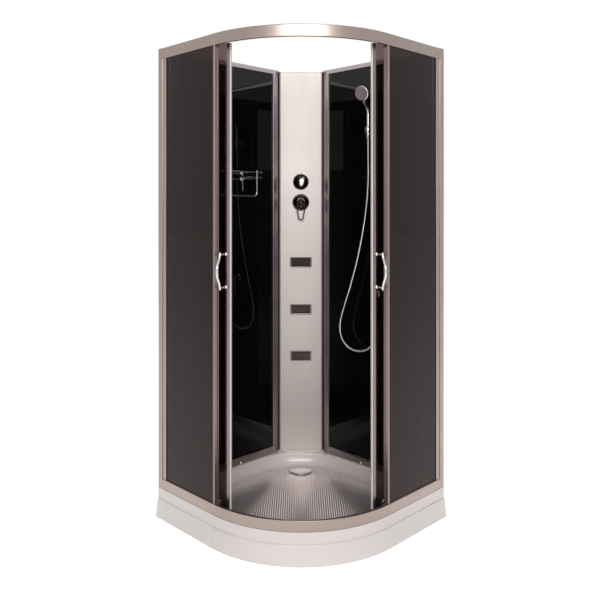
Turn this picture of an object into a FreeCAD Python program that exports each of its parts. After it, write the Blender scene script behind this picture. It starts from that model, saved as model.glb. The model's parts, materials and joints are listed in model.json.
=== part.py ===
import FreeCAD, Part
import math
import os

# Quadrant shower cabin for a room corner, in millimetres.
#
# Wall axes: the back corner of the tray is the zero point, x runs along the left wall, y along the
# right wall, z up from the floor. "Depth" is measured inwards from the outer face of the front.
# Cabin axes, used for what stands across the corner: x to the right, t from the back corner
# towards the doorway, along the diagonal. Every piece ends in cabin axes with its front at -Y.

V = FreeCAD.Vector
UP = V(0, 0, 1)
ROOT2 = math.sqrt(2)

# ---------------------------------------------------------------- driving dimensions
SIDE = 885.0                 # outer side of the frame along each wall
CURVE_R = 494.0              # outer radius of the curved front
HEIGHT = 2043.0              # floor to the top of the frame
RUNNING_GAP = 0.3            # between parts that move past each other
BEARING_GAP = 0.05           # radial, shaft in bore

# Tray
RIM_Z = 110.0                # seat of the wall frames
KERB_H = 15.0                # raised kerb under the front rails
KERB_W = 58.0
BAND_Z = 74.0                # lower edge of the upper band
TRAY_T = 6.0
BASIN_DEPTH = 55.0
BASIN_RUN = 32.0             # width of the concave basin wall
BASIN_STEPS = 8
BASIN_CORNER_R = 270.0        # at the rim, in plan
BASIN_LEDGE = 4.0            # from the kerb to the basin
BASIN_WALL_LEDGE = 10.0      # from the wall frames to the basin
BASIN_BACK_T = 168.0         # flat of the basin in front of the column
DRAIN_T = 262.0
DRAIN_HOLE_R = 46.0
APRON_T = 5.0
APRON_TOP_Z = 79.0
APRON_FLARE = 10.0

# Support under the tray
BAR_W = 25.0
BAR_H = 20.0
BAR_WALL = 2.0
BAR_PLACES = ((380.0, 300.0), (620.0, 540.0), (860.0, 335.0))    # t, half length
SPINE_FRONT_T = 955.0
REAR_FOOT_X = 50.0           # two feet beside the waste pipe's way to the room corner
FOOT_PAD_R = 20.0
FOOT_PAD_H = 8.0
FOOT_ROD_R = 5.0
FOOT_BOSS_R = 8.0
FOOT_NUT_R = 9.0
FOOT_NUT_H = 6.0

# Waste
WASTE_R = 45.0
WASTE_BORE_R = 40.0
WASTE_FLANGE_R = 54.0
WASTE_FLANGE_T = 2.0
WASTE_NUT_T = 6.0
WASTE_CLEARANCE_Z = 5.0
SPIGOT_R = 20.0
SPIGOT_BORE_R = 17.0
SPIGOT_COLLAR_R = 21.5
SPIGOT_ROOT = 55.0           # from the waste's axis to the end of the collar
SPIGOT_L = 50.0              # clear of the collar
SPIGOT_Z = 24.0
COVER_R = 57.5
COVER_H = 8.0
COVER_LIP = 1.5
COVER_STEM_R = 36.0
COVER_STEM_L = 10.0
COVER_STEM_WALL = 3.0
COVER_SLOT_HALF_W = 5.0

# Rails, jambs and fixed panels
RAIL_DEPTH = 54.0
BOTTOM_RAIL_H = 43.0
TOP_RAIL_H = 47.0
RAIL_WALL = 2.0
TRACK_FLOOR = 4.0
BOTTOM_LIP_H = 7.0           # inner wall of the bottom rail, up from its underside
TOP_LIP_H = 30.0             # inner wall of the top rail, down from its upper side
GLASS_T = 5.0
GLASS_SEAT = 5.75            # depth of the fixed glass slot's outer side
SLOT_FIT = 0.25
SLOT_DEPTH = 14.0
EDGE_R = 4.0
SMALL_EDGE_R = 1.5
ADJUST_W = 30.0
ADJUST_DEPTH = 28.0
JAMB_W = 24.0
JAMB_DEPTH = 24.0
JAMB_SLOT = 12.0
TRIM_W = 10.0
TRIM_OUT = 3.0
TRIM_DEPTH = 26.0
TRIM_SLOT = 7.0
TRIM_GROOVE = (12.5, 21.0)   # depths between which the trim's edge has a groove
TRIM_GROOVE_DEEP = 3.5

# Wall panels
WALL_DEPTH = 25.0
WALL_GLASS_DEPTH = 15.0
WALL_SLOT = 8.0
WALL_TOP_H = 20.0
WALL_BOTTOM_H = 34.0
COLUMN_STILE_AT = 190.0
COLUMN_STILE_W = 32.0
COLUMN_STILE_PROUD = 2.0
END_STILE_W = 20.0
SCREW_HEAD_R = 5.0
SCREW_HEAD_H = 2.5
SCREW_PLACES = (434.0, 700.0)

# Column
COLUMN_HALF_W = 108.5
COLUMN_FACE_T = 160.0
COLUMN_BACK_T = 125.0
COLUMN_SHEET = 2.0
COLUMN_EDGE_R = 8.0
COLUMN_BASE_H = 10.0
COLUMN_CAP_H = 8.0
CAP_OVERHANG = 4.0
JOINT_BACK = 5.0             # joint strip, from the back edge of the cover
JOINT_FRONT = 14.0           # and from its face
FEED_HOLE_GAP = 1.0
SPINDLE_HOLE_GAP = 4.0

# Mixer and diverter
MIXER_Z = 1375.0
DIVERTER_Z = 1479.0
VALVE_FRONT_T = 150.0
VALVE_BACK_T = 112.0
VALVE_HALF_W = 56.0
VALVE_UPPER_HALF_W = 26.0
VALVE_BOTTOM_Z = 1350.0
VALVE_SHOULDER_Z = 1400.0
VALVE_TOP_Z = 1510.0
VALVE_BOSS_R = 22.0
DIVERTER_BOSS_R = 18.0
PORT_T = 138.0
INLET_X = 38.0
INLET_END_T = 135.0
INLET_R = 10.48
INLET_BORE_R = 7.5
INLET_L = 14.0
STUB_R = 10.0
STUB_END_X = 40.0
ROSE_EDGE = 2.0
ROSE_RINGS = ((0, 42.5), (2.2, 42.5), (3.6, 41), (4.2, 37), (3.4, 35.4), (4.2, 33.8), (7, 30.5), (9.5, 26.5),
              (11, 22), (11.5, 18))      # height and radius of the mixer's domed cover plate
SPINDLE_R = 8.0
SPINDLE_L = 24.0
HUB_R = 15.0
HUB_L = 32.0
HUB_EDGE = 5.0
HUB_GROOVES = (13.5, 17.0)   # starts of the rings turned in the hub
HUB_GROOVE_W = 2.0
HUB_GROOVE_DEEP = 1.2
LEVER_HALF_W = 20.5
LEVER_TIP_HALF_W = 12.5
LEVER_SHOULDER = 40.0        # below the pivot, where the sides begin to close in
LEVER_BEND_R = 60.0
LEVER_BAR = 5.1
LEVER_THICK = 7.0
LEVER_DROP = 90.0
LEVER_PIVOT_T = 184.0
LEVER_PIN_R = 3.0
LEVER_PIN_PROUD = 1.0
KNOB_R = 40.0
KNOB_H = 28.0
KNOB_LIFT = 1.0
KNOB_EDGE = 2.0
KNOB_SPINDLE_R = 6.0
KNOB_SPINDLE_L = 18.0

# Body jets
JET_Z = (1072.0, 834.0, 599.0)
JET_HALF_W = 54.5
JET_HALF_H = 26.0
JET_FLANGE_T = 5.0
JET_CORNER_R = 6.0
JET_MOUTH_HALF_W = 46.5
JET_MOUTH_HALF_H = 20.5
JET_WALL = 2.5
JET_BACK_T = 127.0
JET_AXIS_T = 150.0
JET_BARREL_R = 20.0
JET_SIDE_PLAY = 0.5
JET_FLAT = 11.5
JET_PIN_R = 3.0
JET_PIN_L = 2.2
JET_HOLE_R = 1.4
JET_HOLE_DEPTH = 4.0
JET_HOLES = (9, 3)
JET_HOLE_PITCH = 9.0
FEED_R = 8.0
FEED_BRANCH_R = 6.0
FEED_X = 72.0
RISER_END = 20.0             # below the lowest jet's axis

# Shelf with gallery and towel loop, left wall
SHELF_START = 380.0
SHELF_END = 745.0
SHELF_OUT = 110.0
SHELF_GLASS_T = 6.0
SHELF_CORNER_R = 12.0
SHELF_POSTS = (425.0, 733.0)    # along the wall, each end of the towel loop
SHELF_Z = 1488.0             # underside of the glass
GALLERY_Z = 1515.0
GALLERY_R = 2.5
GALLERY_INSET = 15.0         # of the rail's ends from the ends of the glass
LOOP_Z = 1403.0
WIRE_R = 4.0
WIRE_BEND = 16.0
POST_RISE = 4.0              # of each post above the gallery rail
FINIAL_R = 4.8
BEARER_R = 3.0               # bars under the glass
END_BALL_R = 3.2
UPRIGHT_R = 2.2
UPRIGHT_END_Z = 1430.0
SHELF_ROSE_R = 9.0
SHELF_ROSE_T = 4.0

# Hand shower, right wall
HOLDER_ALONG = 500.0
HOLDER_OUT = 30.0            # axis of the handle off the wall glass
HOLDER_Z = 1714.0
HOLDER_H = 24.0
HOLDER_R = 16.0
HOLDER_ARM_R = 8.0
HOLDER_ROSE_R = 22.0
ROSE_PLATE_T = 7.0
HANDLE_R = 8.0
HANDLE_STUB_R = 10.0
HANDLE_STUB_BELOW = 8.0      # under the holder's ring
COLLAR_R = 13.0
COLLAR_H = 6.0
HEAD_T = 20.0
HEAD_RINGS = ((0, 23), (3, 31), (8, 34), (17, 35), (20, 33))     # from the back: height, radius
HEAD_TILT = 15.0             # face turned down from level
HEAD_SWIVEL = 13.4           # handle plane turned from the wall's normal towards the doorway
HEAD_REACH = 64.8
HEAD_RISE = 166.0            # above the holder
NECK_RISE = 84.0             # above the holder, where the handle starts to bend
NECK_BACK = 20.0
NECK_UNDER = 34.0
NECK_BEND = 26.0
NECK_SINK = 4.0
FACE_R = 31.0
FACE_GAP = 0.2
FACE_T = 2.5
NUT_L = 18.0
UPPER_NUT_RINGS = ((0, 8), (14, 10), (18, 10))
LOWER_NUT_RINGS = ((0, 8), (4, 11), (18, 11))
ELBOW_ALONG = 528.0
ELBOW_OUT = 26.0
ELBOW_Z = 944.0
ELBOW_R = 10.0
ELBOW_BALL_R = 11.0
ELBOW_DROP = 16.0
ELBOW_BLOCK = 18.0
ELBOW_BLOCK_BACK = 1.0
ELBOW_BLOCK_T = 14.0
HOSE_R = 5.5

# Doors
DOOR_SPAN = 45.0             # degrees of the curve that each closed door covers
DOOR_GLASS_T = 6.0
DOOR_GLASS_DEPTH = 41.0      # centre of the closed door's glass
DOOR_LOW_GAP = 4.0           # over the bottom rail's inner wall
DOOR_TOP_GAP = 5.0           # under the top rail's inner wall
TRACK_DEPTH = 32.0           # centre of the rollers on the track
ROLLER_SPREAD = 14.0         # degrees from the door's middle
ROLLER_R = 12.0
ROLLER_W = 6.0
ROLLER_AXLE_R = 2.5
ROLLER_HOLES_AT = 7.4
ROLLER_HOLE_R = 1.6
BRACKET_PLATE = 2.6
BRACKET_HALF_W = 12.0
BRACKET_TAIL = 4.0           # behind the axle
BRACKET_LEAD = 26.0          # ahead of the axle, towards the leading edge
BRACKET_GRIP = 38.0
BRACKET_SEAT = 0.02
BRACKET_UNDER = 6.0          # below the roller's axle
SCREW_IN = 8.0               # from the end of the bracket's plate
SCREW_CAP_RINGS = ((0, 5), (1.5, 5), (2.5, 3))
GUIDE_RISE = 9.0
GUIDE_H = 14.0
DOOR_SHOWS = 37.0            # open door's leading edge beyond the start of the curve
SEAL_W = 7.5
SEAL_NECK_W = 2.5
SEAL_NECK_OUT = 1.5
SEAL_OUT = 4.0
PROFILE_W = 10.7
PROFILE_OUT = 5.0            # either side of the glass centre
GLASS_IN_PROFILE = 7.0
PROFILE_FIT = 0.1
TRAIL_SEAL_W = 10.0
HANDLE_Z = 1096.0
HANDLE_INSET = 26.0
HANDLE_BAR_R = 5.5
HANDLE_BALL_R = 6.5
HANDLE_POST_R = 4.5
HANDLE_HALF_H = 76.0
HANDLE_POST_HALF = 66.0
HANDLE_END_OUT = 40.0
HANDLE_BOW_OUT = 62.0
HANDLE_NUT_R = 7.5
HANDLE_NUT_T = 4.0
HANDLE_HOLE_R = 4.8

# ---------------------------------------------------------------- derived places
CENTRE = SIDE - CURVE_R                                  # of the curved front, on both wall axes
FLOOR_Z = RIM_Z - BASIN_DEPTH
BASE_Z = RIM_Z + KERB_H                                  # underside of the front rails
TRACK_Z = BASE_Z + TRACK_FLOOR
OPEN_Z0 = BASE_Z + BOTTOM_RAIL_H
OPEN_Z1 = HEIGHT - TOP_RAIL_H
CORNER_Y = (ROOT2 * CENTRE + CURVE_R + APRON_T + APRON_FLARE) / 2
SEAT_GLASS = WALL_GLASS_DEPTH + GLASS_T                  # face of the wall glass, off the outer plane
DOOR_R = CURVE_R - DOOR_GLASS_DEPTH
TRACK_R = CURVE_R - TRACK_DEPTH
ROLLER_Z = TRACK_Z + RUNNING_GAP + ROLLER_R


# ---------------------------------------------------------------- drawing helpers
def box(x0, x1, y0, y1, z0, z1):
    return Part.makeBox(x1 - x0, y1 - y0, z1 - z0, V(x0, y0, z0))


def rod(start, end, radius):
    axis = end.sub(start)
    return Part.makeCylinder(radius, axis.Length, start, axis)


def fuse(shapes):
    return shapes[0].fuse(shapes[1:]).removeSplitter()


def flat(z):
    """Places outline points on the level plane at z."""
    return lambda x, y: V(x, y, z)


def outline(corners, place):
    """Closed wire through corners (u, v) or (u, v, radius), each one rounded by its radius."""
    count = len(corners)
    spots = [FreeCAD.Vector(c[0], c[1], 0) for c in corners]
    radii = [c[2] if len(c) > 2 else 0.0 for c in corners]
    arcs = []
    for i, here in enumerate(spots):
        back = spots[i - 1].sub(here).normalize()
        ahead = spots[(i + 1) % count].sub(here).normalize()
        half = back.getAngle(ahead) / 2
        cut = radii[i] / math.tan(half)
        middle = V(here)
        if radii[i]:
            inward = back.add(ahead).normalize()
            middle = here.add(inward.multiply(radii[i] / math.sin(half) - radii[i]))
        arcs.append((here.add(back.multiply(cut)), middle, here.add(ahead.multiply(cut))))
    edges = []
    for i, (start, middle, end) in enumerate(arcs):
        if radii[i]:
            points = [place(p.x, p.y) for p in (start, middle, end)]
            edges.append(Part.Arc(*points).toShape())
        following = arcs[(i + 1) % count][0]
        if end.distanceToPoint(following) > 1e-6:
            edges.append(Part.LineSegment(place(end.x, end.y), place(following.x, following.y)).toShape())
    return Part.Wire(edges)


def prism(corners, z0, z1):
    return Part.Face(outline(corners, flat(z0))).extrude(V(0, 0, z1 - z0))


def disc_stack(rings, base, axis):
    """Turned piece from (height, radius) pairs along an axis, closed on the axis at both ends."""
    profile = [V(0, 0, rings[0][0])] + [V(r, 0, h) for h, r in rings] + [V(0, 0, rings[-1][0])]
    solid = Part.Face(Part.makePolygon(profile + [profile[0]])).revolve(V(0, 0, 0), UP, 360)
    solid.Placement = FreeCAD.Placement(base, FreeCAD.Rotation(UP, axis))
    return solid


def rose(radius, thick, edge, base, axis):
    """Round cover plate with a bevelled edge."""
    return disc_stack([(0, radius), (thick - edge, radius), (thick, radius - 2 * edge)], base, axis)


def tube(points, radius, bend=None):
    """Round bar along straight runs joined by tangent arcs; bend None takes the largest that fits."""
    edges = []
    radii = []
    start = points[0]
    for i in range(1, len(points) - 1):
        back = points[i - 1].sub(points[i])
        ahead = points[i + 1].sub(points[i])
        shorter = min(back.Length, ahead.Length)
        half_turn = (math.pi - back.getAngle(ahead)) / 2
        arc_r = bend or 0.45 * shorter / math.tan(half_turn)
        radii.append(arc_r)
        cut = arc_r * math.tan(half_turn)
        back.normalize()
        ahead.normalize()
        first = points[i].add(back * cut)
        last = points[i].add(ahead * cut)
        inward = (back + ahead).normalize()
        middle = points[i].add(inward * (arc_r / math.cos(half_turn) - arc_r))
        edges.append(Part.LineSegment(start, first).toShape())
        edges.append(Part.Arc(first, middle, last).toShape())
        start = last
    edges.append(Part.LineSegment(start, points[-1]).toShape())
    path = Part.Wire(edges)
    ring = Part.Wire(Part.makeCircle(radius, points[0], points[1].sub(points[0])))
    return path.makePipeShell([ring], True, False), path.Length, radii


# ---------------------------------------------------------------- moving into cabin axes
def to_cabin(shape):
    """From wall axes to cabin axes."""
    moved = shape.copy()
    moved.rotate(V(0, 0, 0), UP, 225)
    moved.translate(V(0, CORNER_Y, 0))
    return moved


def to_right(shape):
    """The piece's mirror image on the other side of the diagonal, in cabin axes."""
    return shape.mirror(V(0, 0, 0), V(1, 0, 0))


def swap_walls(shape):
    """The same mirror image in wall axes: left wall becomes right wall."""
    return shape.mirror(V(0, 0, 0), V(1, -1, 0))


def at(x, t, z):
    return V(x, CORNER_Y - t, z)


def wall_spot(x, t):
    """A place given in x and t, in wall axes."""
    return (t - x) / ROOT2, (t + x) / ROOT2


NODES = {}


def keep(name, *shapes):
    NODES[name] = shapes[0] if len(shapes) == 1 else Part.makeCompound(list(shapes))


# ---------------------------------------------------------------- tray
def front_outline(inset, back, z):
    side = SIDE - inset
    corners = [(back, back), (side, back), (side, side, CURVE_R - inset), (back, side)]
    return outline(corners, flat(z))


def front_block(inset, back, z0, z1):
    return Part.Face(front_outline(inset, back, z0)).extrude(V(0, 0, z1 - z0))


def basin(grow):
    """The hollow of the basin: a quarter ellipse from the rim down to the flat floor."""
    wires = []
    for step in range(-1, BASIN_STEPS + 1):
        angle = math.radians(90 * max(step, 0) / BASIN_STEPS)
        run = BASIN_RUN * (1 - math.cos(angle)) - grow
        z = RIM_Z - BASIN_DEPTH * math.sin(angle) - grow + (KERB_H if step < 0 else 0)
        side = SIDE - KERB_W - BASIN_LEDGE - run
        back = WALL_DEPTH + BASIN_WALL_LEDGE + run
        flat_at = ROOT2 * (BASIN_BACK_T + run) - back
        corner = BASIN_CORNER_R - run
        corners = [(flat_at, back, corner), (side, back, corner),
                   (side, side, CURVE_R - KERB_W - BASIN_LEDGE - run),
                   (back, side, corner), (back, flat_at, corner)]
        wires.append(outline(corners, flat(z)))
    return Part.makeLoft(wires, True, True)


def make_tray():
    drain = V(*wall_spot(0, DRAIN_T), 0)
    rim = front_block(0, 0, RIM_Z - TRAY_T, RIM_Z)
    band = front_block(0, 0, BAND_Z, RIM_Z).cut(front_block(TRAY_T, TRAY_T, BAND_Z, RIM_Z))
    kerb = front_block(0, 0, RIM_Z, BASE_Z).cut(front_block(KERB_W, -1, RIM_Z, BASE_Z))
    frame_end = SIDE - ADJUST_DEPTH
    notch = box(0, frame_end, -1, WALL_DEPTH, RIM_Z, BASE_Z)
    kerb = kerb.cut([notch, swap_walls(notch)])
    below_rim = front_block(TRAY_T, TRAY_T, 0, RIM_Z)
    body = fuse([rim, band, kerb, basin(TRAY_T).common(below_rim)])
    hole = Part.makeCylinder(DRAIN_HOLE_R, RIM_Z, V(drain.x, drain.y, 0))
    keep("tray_shell", to_cabin(body.cut([basin(0), hole])))

    outer = Part.makeLoft([front_outline(-APRON_T - APRON_FLARE, 0, 0),
                           front_outline(-APRON_T, 0, APRON_TOP_Z)], True, True)
    inner = Part.makeLoft([front_outline(-APRON_FLARE, -2 * APRON_FLARE, 0),
                           front_outline(0, -2 * APRON_FLARE, APRON_TOP_Z)], True, True)
    keep("tray_apron", to_cabin(outer.cut(inner)))


def make_support():
    top = FLOOR_Z - TRAY_T
    low = top - BAR_H
    half = BAR_W / 2
    wall = BAR_WALL

    def bar(x0, x1, t0, t1, wall_x, wall_t):
        solid = box(x0, x1, CORNER_Y - t1, CORNER_Y - t0, low, top)
        core = box(x0 + wall_x, x1 - wall_x, CORNER_Y - t1 + wall_t, CORNER_Y - t0 - wall_t,
                   low + wall, top - wall)
        return solid.cut(core)

    bars = [bar(-length, length, t - half, t + half, 0, wall) for t, length in BAR_PLACES]
    ends = [t for t, length in BAR_PLACES] + [SPINE_FRONT_T + half]
    for first, last in zip(ends, ends[1:]):
        bars.append(bar(-half, half, first + half, last - half, wall, 0))
    keep("support_frame", *bars)

    feet = []
    short_spots = [(0, SPINE_FRONT_T - BAR_W)]
    for t, length in BAR_PLACES:
        short_spots += [(-length + BAR_W, t), (length - BAR_W, t)]
    corner_in = SIDE - 2 * FOOT_PAD_R
    x_end = (corner_in - 2 * FOOT_PAD_R) / ROOT2
    t_end = (corner_in + 2 * FOOT_PAD_R) / ROOT2
    rear_t = BASIN_BACK_T / 2
    tall_spots = [(-REAR_FOOT_X, rear_t), (REAR_FOOT_X, rear_t), (-x_end, t_end), (x_end, t_end)]
    rings = [(0, FOOT_PAD_R), (FOOT_PAD_H / 2, FOOT_PAD_R), (FOOT_PAD_H, FOOT_BOSS_R)]
    for spots, reach in ((short_spots, low), (tall_spots, RIM_Z - TRAY_T)):
        for x, t in spots:
            pad = disc_stack(rings, at(x, t, 0), UP)
            stem = rod(at(x, t, FOOT_PAD_H / 2), at(x, t, reach), FOOT_ROD_R)
            nut = rod(at(x, t, reach - FOOT_NUT_H), at(x, t, reach), FOOT_NUT_R)
            feet.append(fuse([pad, stem, nut]))
    keep("levelling_feet", *feet)


def make_waste():
    under = FLOOR_Z - TRAY_T
    middle = at(0, DRAIN_T, 0)
    flange_top = middle + UP * (FLOOR_Z + WASTE_FLANGE_T)
    cup = rod(middle + UP * WASTE_CLEARANCE_Z, flange_top, WASTE_R)
    flange = rod(middle + UP * FLOOR_Z, flange_top, WASTE_FLANGE_R)
    nut = rod(middle + UP * (under - WASTE_NUT_T), middle + UP * under, WASTE_FLANGE_R)
    root = at(0, DRAIN_T - SPIGOT_ROOT, SPIGOT_Z)
    end = at(0, DRAIN_T - SPIGOT_ROOT - SPIGOT_L, SPIGOT_Z)
    collar = rod(middle + UP * SPIGOT_Z, root, SPIGOT_COLLAR_R)
    spigot = rod(root, end, SPIGOT_R)
    cup_wall = WASTE_R - WASTE_BORE_R
    bore = rod(middle + UP * (WASTE_CLEARANCE_Z + cup_wall), middle + UP * (FLOOR_Z + COVER_H), WASTE_BORE_R)
    outlet = rod(at(0, DRAIN_T - WASTE_BORE_R + cup_wall, SPIGOT_Z), end, SPIGOT_BORE_R)
    keep("waste_trap", fuse([cup, flange, nut, collar, spigot]).cut([bore, outlet]))

    seat = FLOOR_Z + WASTE_FLANGE_T + RUNNING_GAP
    rings = [(-COVER_STEM_L, COVER_STEM_R), (0, COVER_STEM_R), (0, COVER_R - COVER_LIP)]
    for a in range(0, 90, 15):
        rise = (COVER_H - COVER_LIP) * math.sin(math.radians(a))
        rings.append((COVER_LIP + rise, COVER_R * math.cos(math.radians(a))))
    cover = disc_stack(rings, middle + UP * seat, UP)
    stem_z = seat - COVER_STEM_L
    hollow = rod(middle + UP * stem_z, middle + UP * (seat + COVER_LIP / 2), COVER_STEM_R - COVER_STEM_WALL)
    slots = []
    for k in range(6):
        slot = box(-COVER_SLOT_HALF_W, COVER_SLOT_HALF_W, COVER_STEM_R / 2, COVER_R,
                   stem_z, seat - COVER_STEM_WALL)
        slot.rotate(V(0, 0, 0), UP, 60 * k)
        slot.translate(V(middle.x, middle.y, 0))
        slots.append(slot)
    keep("drain_cover", cover.cut([hollow] + slots))


# ---------------------------------------------------------------- front frame
def along_front(corners, start):
    """Runs an upright section (depth, z) along one straight front, the curve and the other front."""
    face = Part.Face(outline(corners, lambda depth, z: V(SIDE - depth, start, z)))
    straight = face.extrude(V(0, CENTRE - start, 0))
    turn = face.copy()
    turn.translate(V(0, CENTRE - start, 0))
    curve = turn.revolve(V(CENTRE, CENTRE, 0), UP, 90)
    return fuse([straight, curve, swap_walls(straight)])


def rail_section(height, lip, base, sign):
    """Section of a rail: glass slot in front, open track behind; sign -1 hangs it upside down."""
    slot_in = GLASS_SEAT + GLASS_T + 2 * SLOT_FIT
    post = slot_in + RAIL_WALL + SLOT_FIT
    inner = RAIL_DEPTH - RAIL_WALL
    corners = [(0, 0, EDGE_R), (RAIL_DEPTH, 0), (RAIL_DEPTH, lip), (inner, lip),
               (inner, TRACK_FLOOR), (post, TRACK_FLOOR), (post, height),
               (slot_in, height), (slot_in, height - SLOT_DEPTH), (GLASS_SEAT, height - SLOT_DEPTH),
               (GLASS_SEAT, height), (0, height, SMALL_EDGE_R)]
    chamber = [(RAIL_WALL, RAIL_WALL), (post - RAIL_WALL, RAIL_WALL),
               (post - RAIL_WALL, height - SLOT_DEPTH - RAIL_WALL),
               (RAIL_WALL, height - SLOT_DEPTH - RAIL_WALL)]

    def lift(points):
        return [(p[0], base + sign * p[1]) + tuple(p[2:]) for p in points]
    return lift(corners), lift(chamber)


def make_rails():
    for name, height, lip, base, sign in (("bottom_rail", BOTTOM_RAIL_H, BOTTOM_LIP_H, BASE_Z, 1),
                                          ("top_rail", TOP_RAIL_H, TOP_LIP_H, HEIGHT, -1)):
        corners, chamber = rail_section(height, lip, base, sign)
        rail = along_front(corners, ADJUST_W).cut(along_front(chamber, ADJUST_W))
        keep(name, to_cabin(rail))


def make_fixed_front():
    edge = SMALL_EDGE_R
    outer = SIDE - TRIM_OUT
    adjust = prism([(SIDE - ADJUST_DEPTH, 0, edge), (SIDE, 0, edge), (SIDE, ADJUST_W, edge),
                    (SIDE - ADJUST_DEPTH, ADJUST_W, edge)], BASE_Z, HEIGHT)
    slot_x0 = SIDE - GLASS_SEAT - GLASS_T - 2 * SLOT_FIT
    slot_x1 = SIDE - GLASS_SEAT
    jamb_end = ADJUST_W + JAMB_W
    jamb = prism([(SIDE - JAMB_DEPTH, ADJUST_W), (outer, ADJUST_W), (outer, jamb_end, edge),
                  (SIDE - JAMB_DEPTH, jamb_end, edge)], OPEN_Z0, OPEN_Z1)
    jamb = jamb.cut(box(slot_x0, slot_x1, jamb_end - JAMB_SLOT, jamb_end, OPEN_Z0, OPEN_Z1))
    trim_end = CENTRE + TRIM_SLOT / 3
    trim_start = trim_end - TRIM_W
    trim = prism([(SIDE - TRIM_DEPTH, trim_start, edge), (outer, trim_start, edge),
                  (outer, trim_end, edge), (SIDE - TRIM_DEPTH, trim_end, edge)], OPEN_Z0, OPEN_Z1)
    near, far = TRIM_GROOVE
    groove = box(SIDE - far, SIDE - near, trim_end - TRIM_GROOVE_DEEP, trim_end, OPEN_Z0, OPEN_Z1)
    glass_slot = box(slot_x0, slot_x1, trim_start, trim_start + TRIM_SLOT, OPEN_Z0, OPEN_Z1)
    trim = trim.cut([glass_slot, groove])
    glass_x0 = slot_x0 + SLOT_FIT
    glass = box(glass_x0, glass_x0 + GLASS_T, jamb_end - JAMB_SLOT, trim_start + TRIM_SLOT,
                OPEN_Z0 - SLOT_DEPTH, OPEN_Z1 + SLOT_DEPTH)
    pieces = (("adjust_profile", adjust), ("jamb", jamb), ("fixed_trim", trim), ("fixed_glass", glass))
    for name, shape in pieces:
        left = to_cabin(shape)
        keep("left_" + name, left)
        keep("right_" + name, to_right(left))


# ---------------------------------------------------------------- wall panels
def make_wall_panels():
    end = SIDE - ADJUST_DEPTH
    first = COLUMN_STILE_AT + COLUMN_STILE_W
    last = end - END_STILE_W
    edge = SMALL_EDGE_R
    proud = WALL_DEPTH + COLUMN_STILE_PROUD
    column_stile = prism([(COLUMN_STILE_AT, 0), (first, 0), (first, proud, edge),
                          (COLUMN_STILE_AT, proud, edge)], RIM_Z, HEIGHT)
    end_stile = prism([(last, 0), (end, 0), (end, WALL_DEPTH), (last, WALL_DEPTH, edge)], RIM_Z, HEIGHT)
    bottom = box(first, last, 0, WALL_DEPTH, RIM_Z, RIM_Z + WALL_BOTTOM_H)
    top = box(first, last, 0, WALL_DEPTH, HEIGHT - WALL_TOP_H, HEIGHT)
    slot = box(first - WALL_SLOT, last + WALL_SLOT, WALL_GLASS_DEPTH - SLOT_FIT, SEAT_GLASS + SLOT_FIT,
               RIM_Z + WALL_BOTTOM_H - WALL_SLOT, HEIGHT - WALL_TOP_H + WALL_SLOT)
    glass = box(first - WALL_SLOT, last + WALL_SLOT, WALL_GLASS_DEPTH, SEAT_GLASS,
                RIM_Z + WALL_BOTTOM_H - WALL_SLOT, HEIGHT - WALL_TOP_H + WALL_SLOT)
    frame = [bar.cut(slot) for bar in (column_stile, end_stile, bottom, top)]
    keep("left_wall_frame", *[to_cabin(bar) for bar in frame])
    keep("left_wall_glass", to_cabin(glass))

    block = ELBOW_BLOCK / 2 + RUNNING_GAP
    elbow_hole = rod(V(ELBOW_ALONG, 0, ELBOW_Z), V(ELBOW_ALONG, WALL_DEPTH, ELBOW_Z), block)
    right_frame = [to_right(to_cabin(bar)) for bar in frame]
    right_frame[0] = right_frame[0].cut(feed_pipe(FEED_BRANCH_R + FEED_HOLE_GAP))
    keep("right_wall_frame", *right_frame)
    keep("right_wall_glass", to_right(to_cabin(glass.cut(elbow_hole))))

    screws = []
    for along in SCREW_PLACES:
        seat = V(along, WALL_DEPTH, RIM_Z + WALL_BOTTOM_H / 4)
        left = to_cabin(rose(SCREW_HEAD_R, SCREW_HEAD_H, SCREW_HEAD_H / 2, seat, V(0, 1, 0)))
        screws += [left, to_right(left)]
    keep("frame_screws", *screws)


# ---------------------------------------------------------------- column
def column_plate(z0, z1):
    half = COLUMN_HALF_W + CAP_OVERHANG
    front = COLUMN_FACE_T + CAP_OVERHANG
    back_half = (BASIN_BACK_T - half) / 2 + CAP_OVERHANG
    corners = [(-half, half + CAP_OVERHANG), (-half, front, EDGE_R), (half, front, EDGE_R),
               (half, half + CAP_OVERHANG), (back_half, 2 * back_half), (-back_half, 2 * back_half)]
    wire = outline(corners, lambda x, t: at(x, t, z0))
    return Part.Face(wire).extrude(V(0, 0, z1 - z0))


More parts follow.
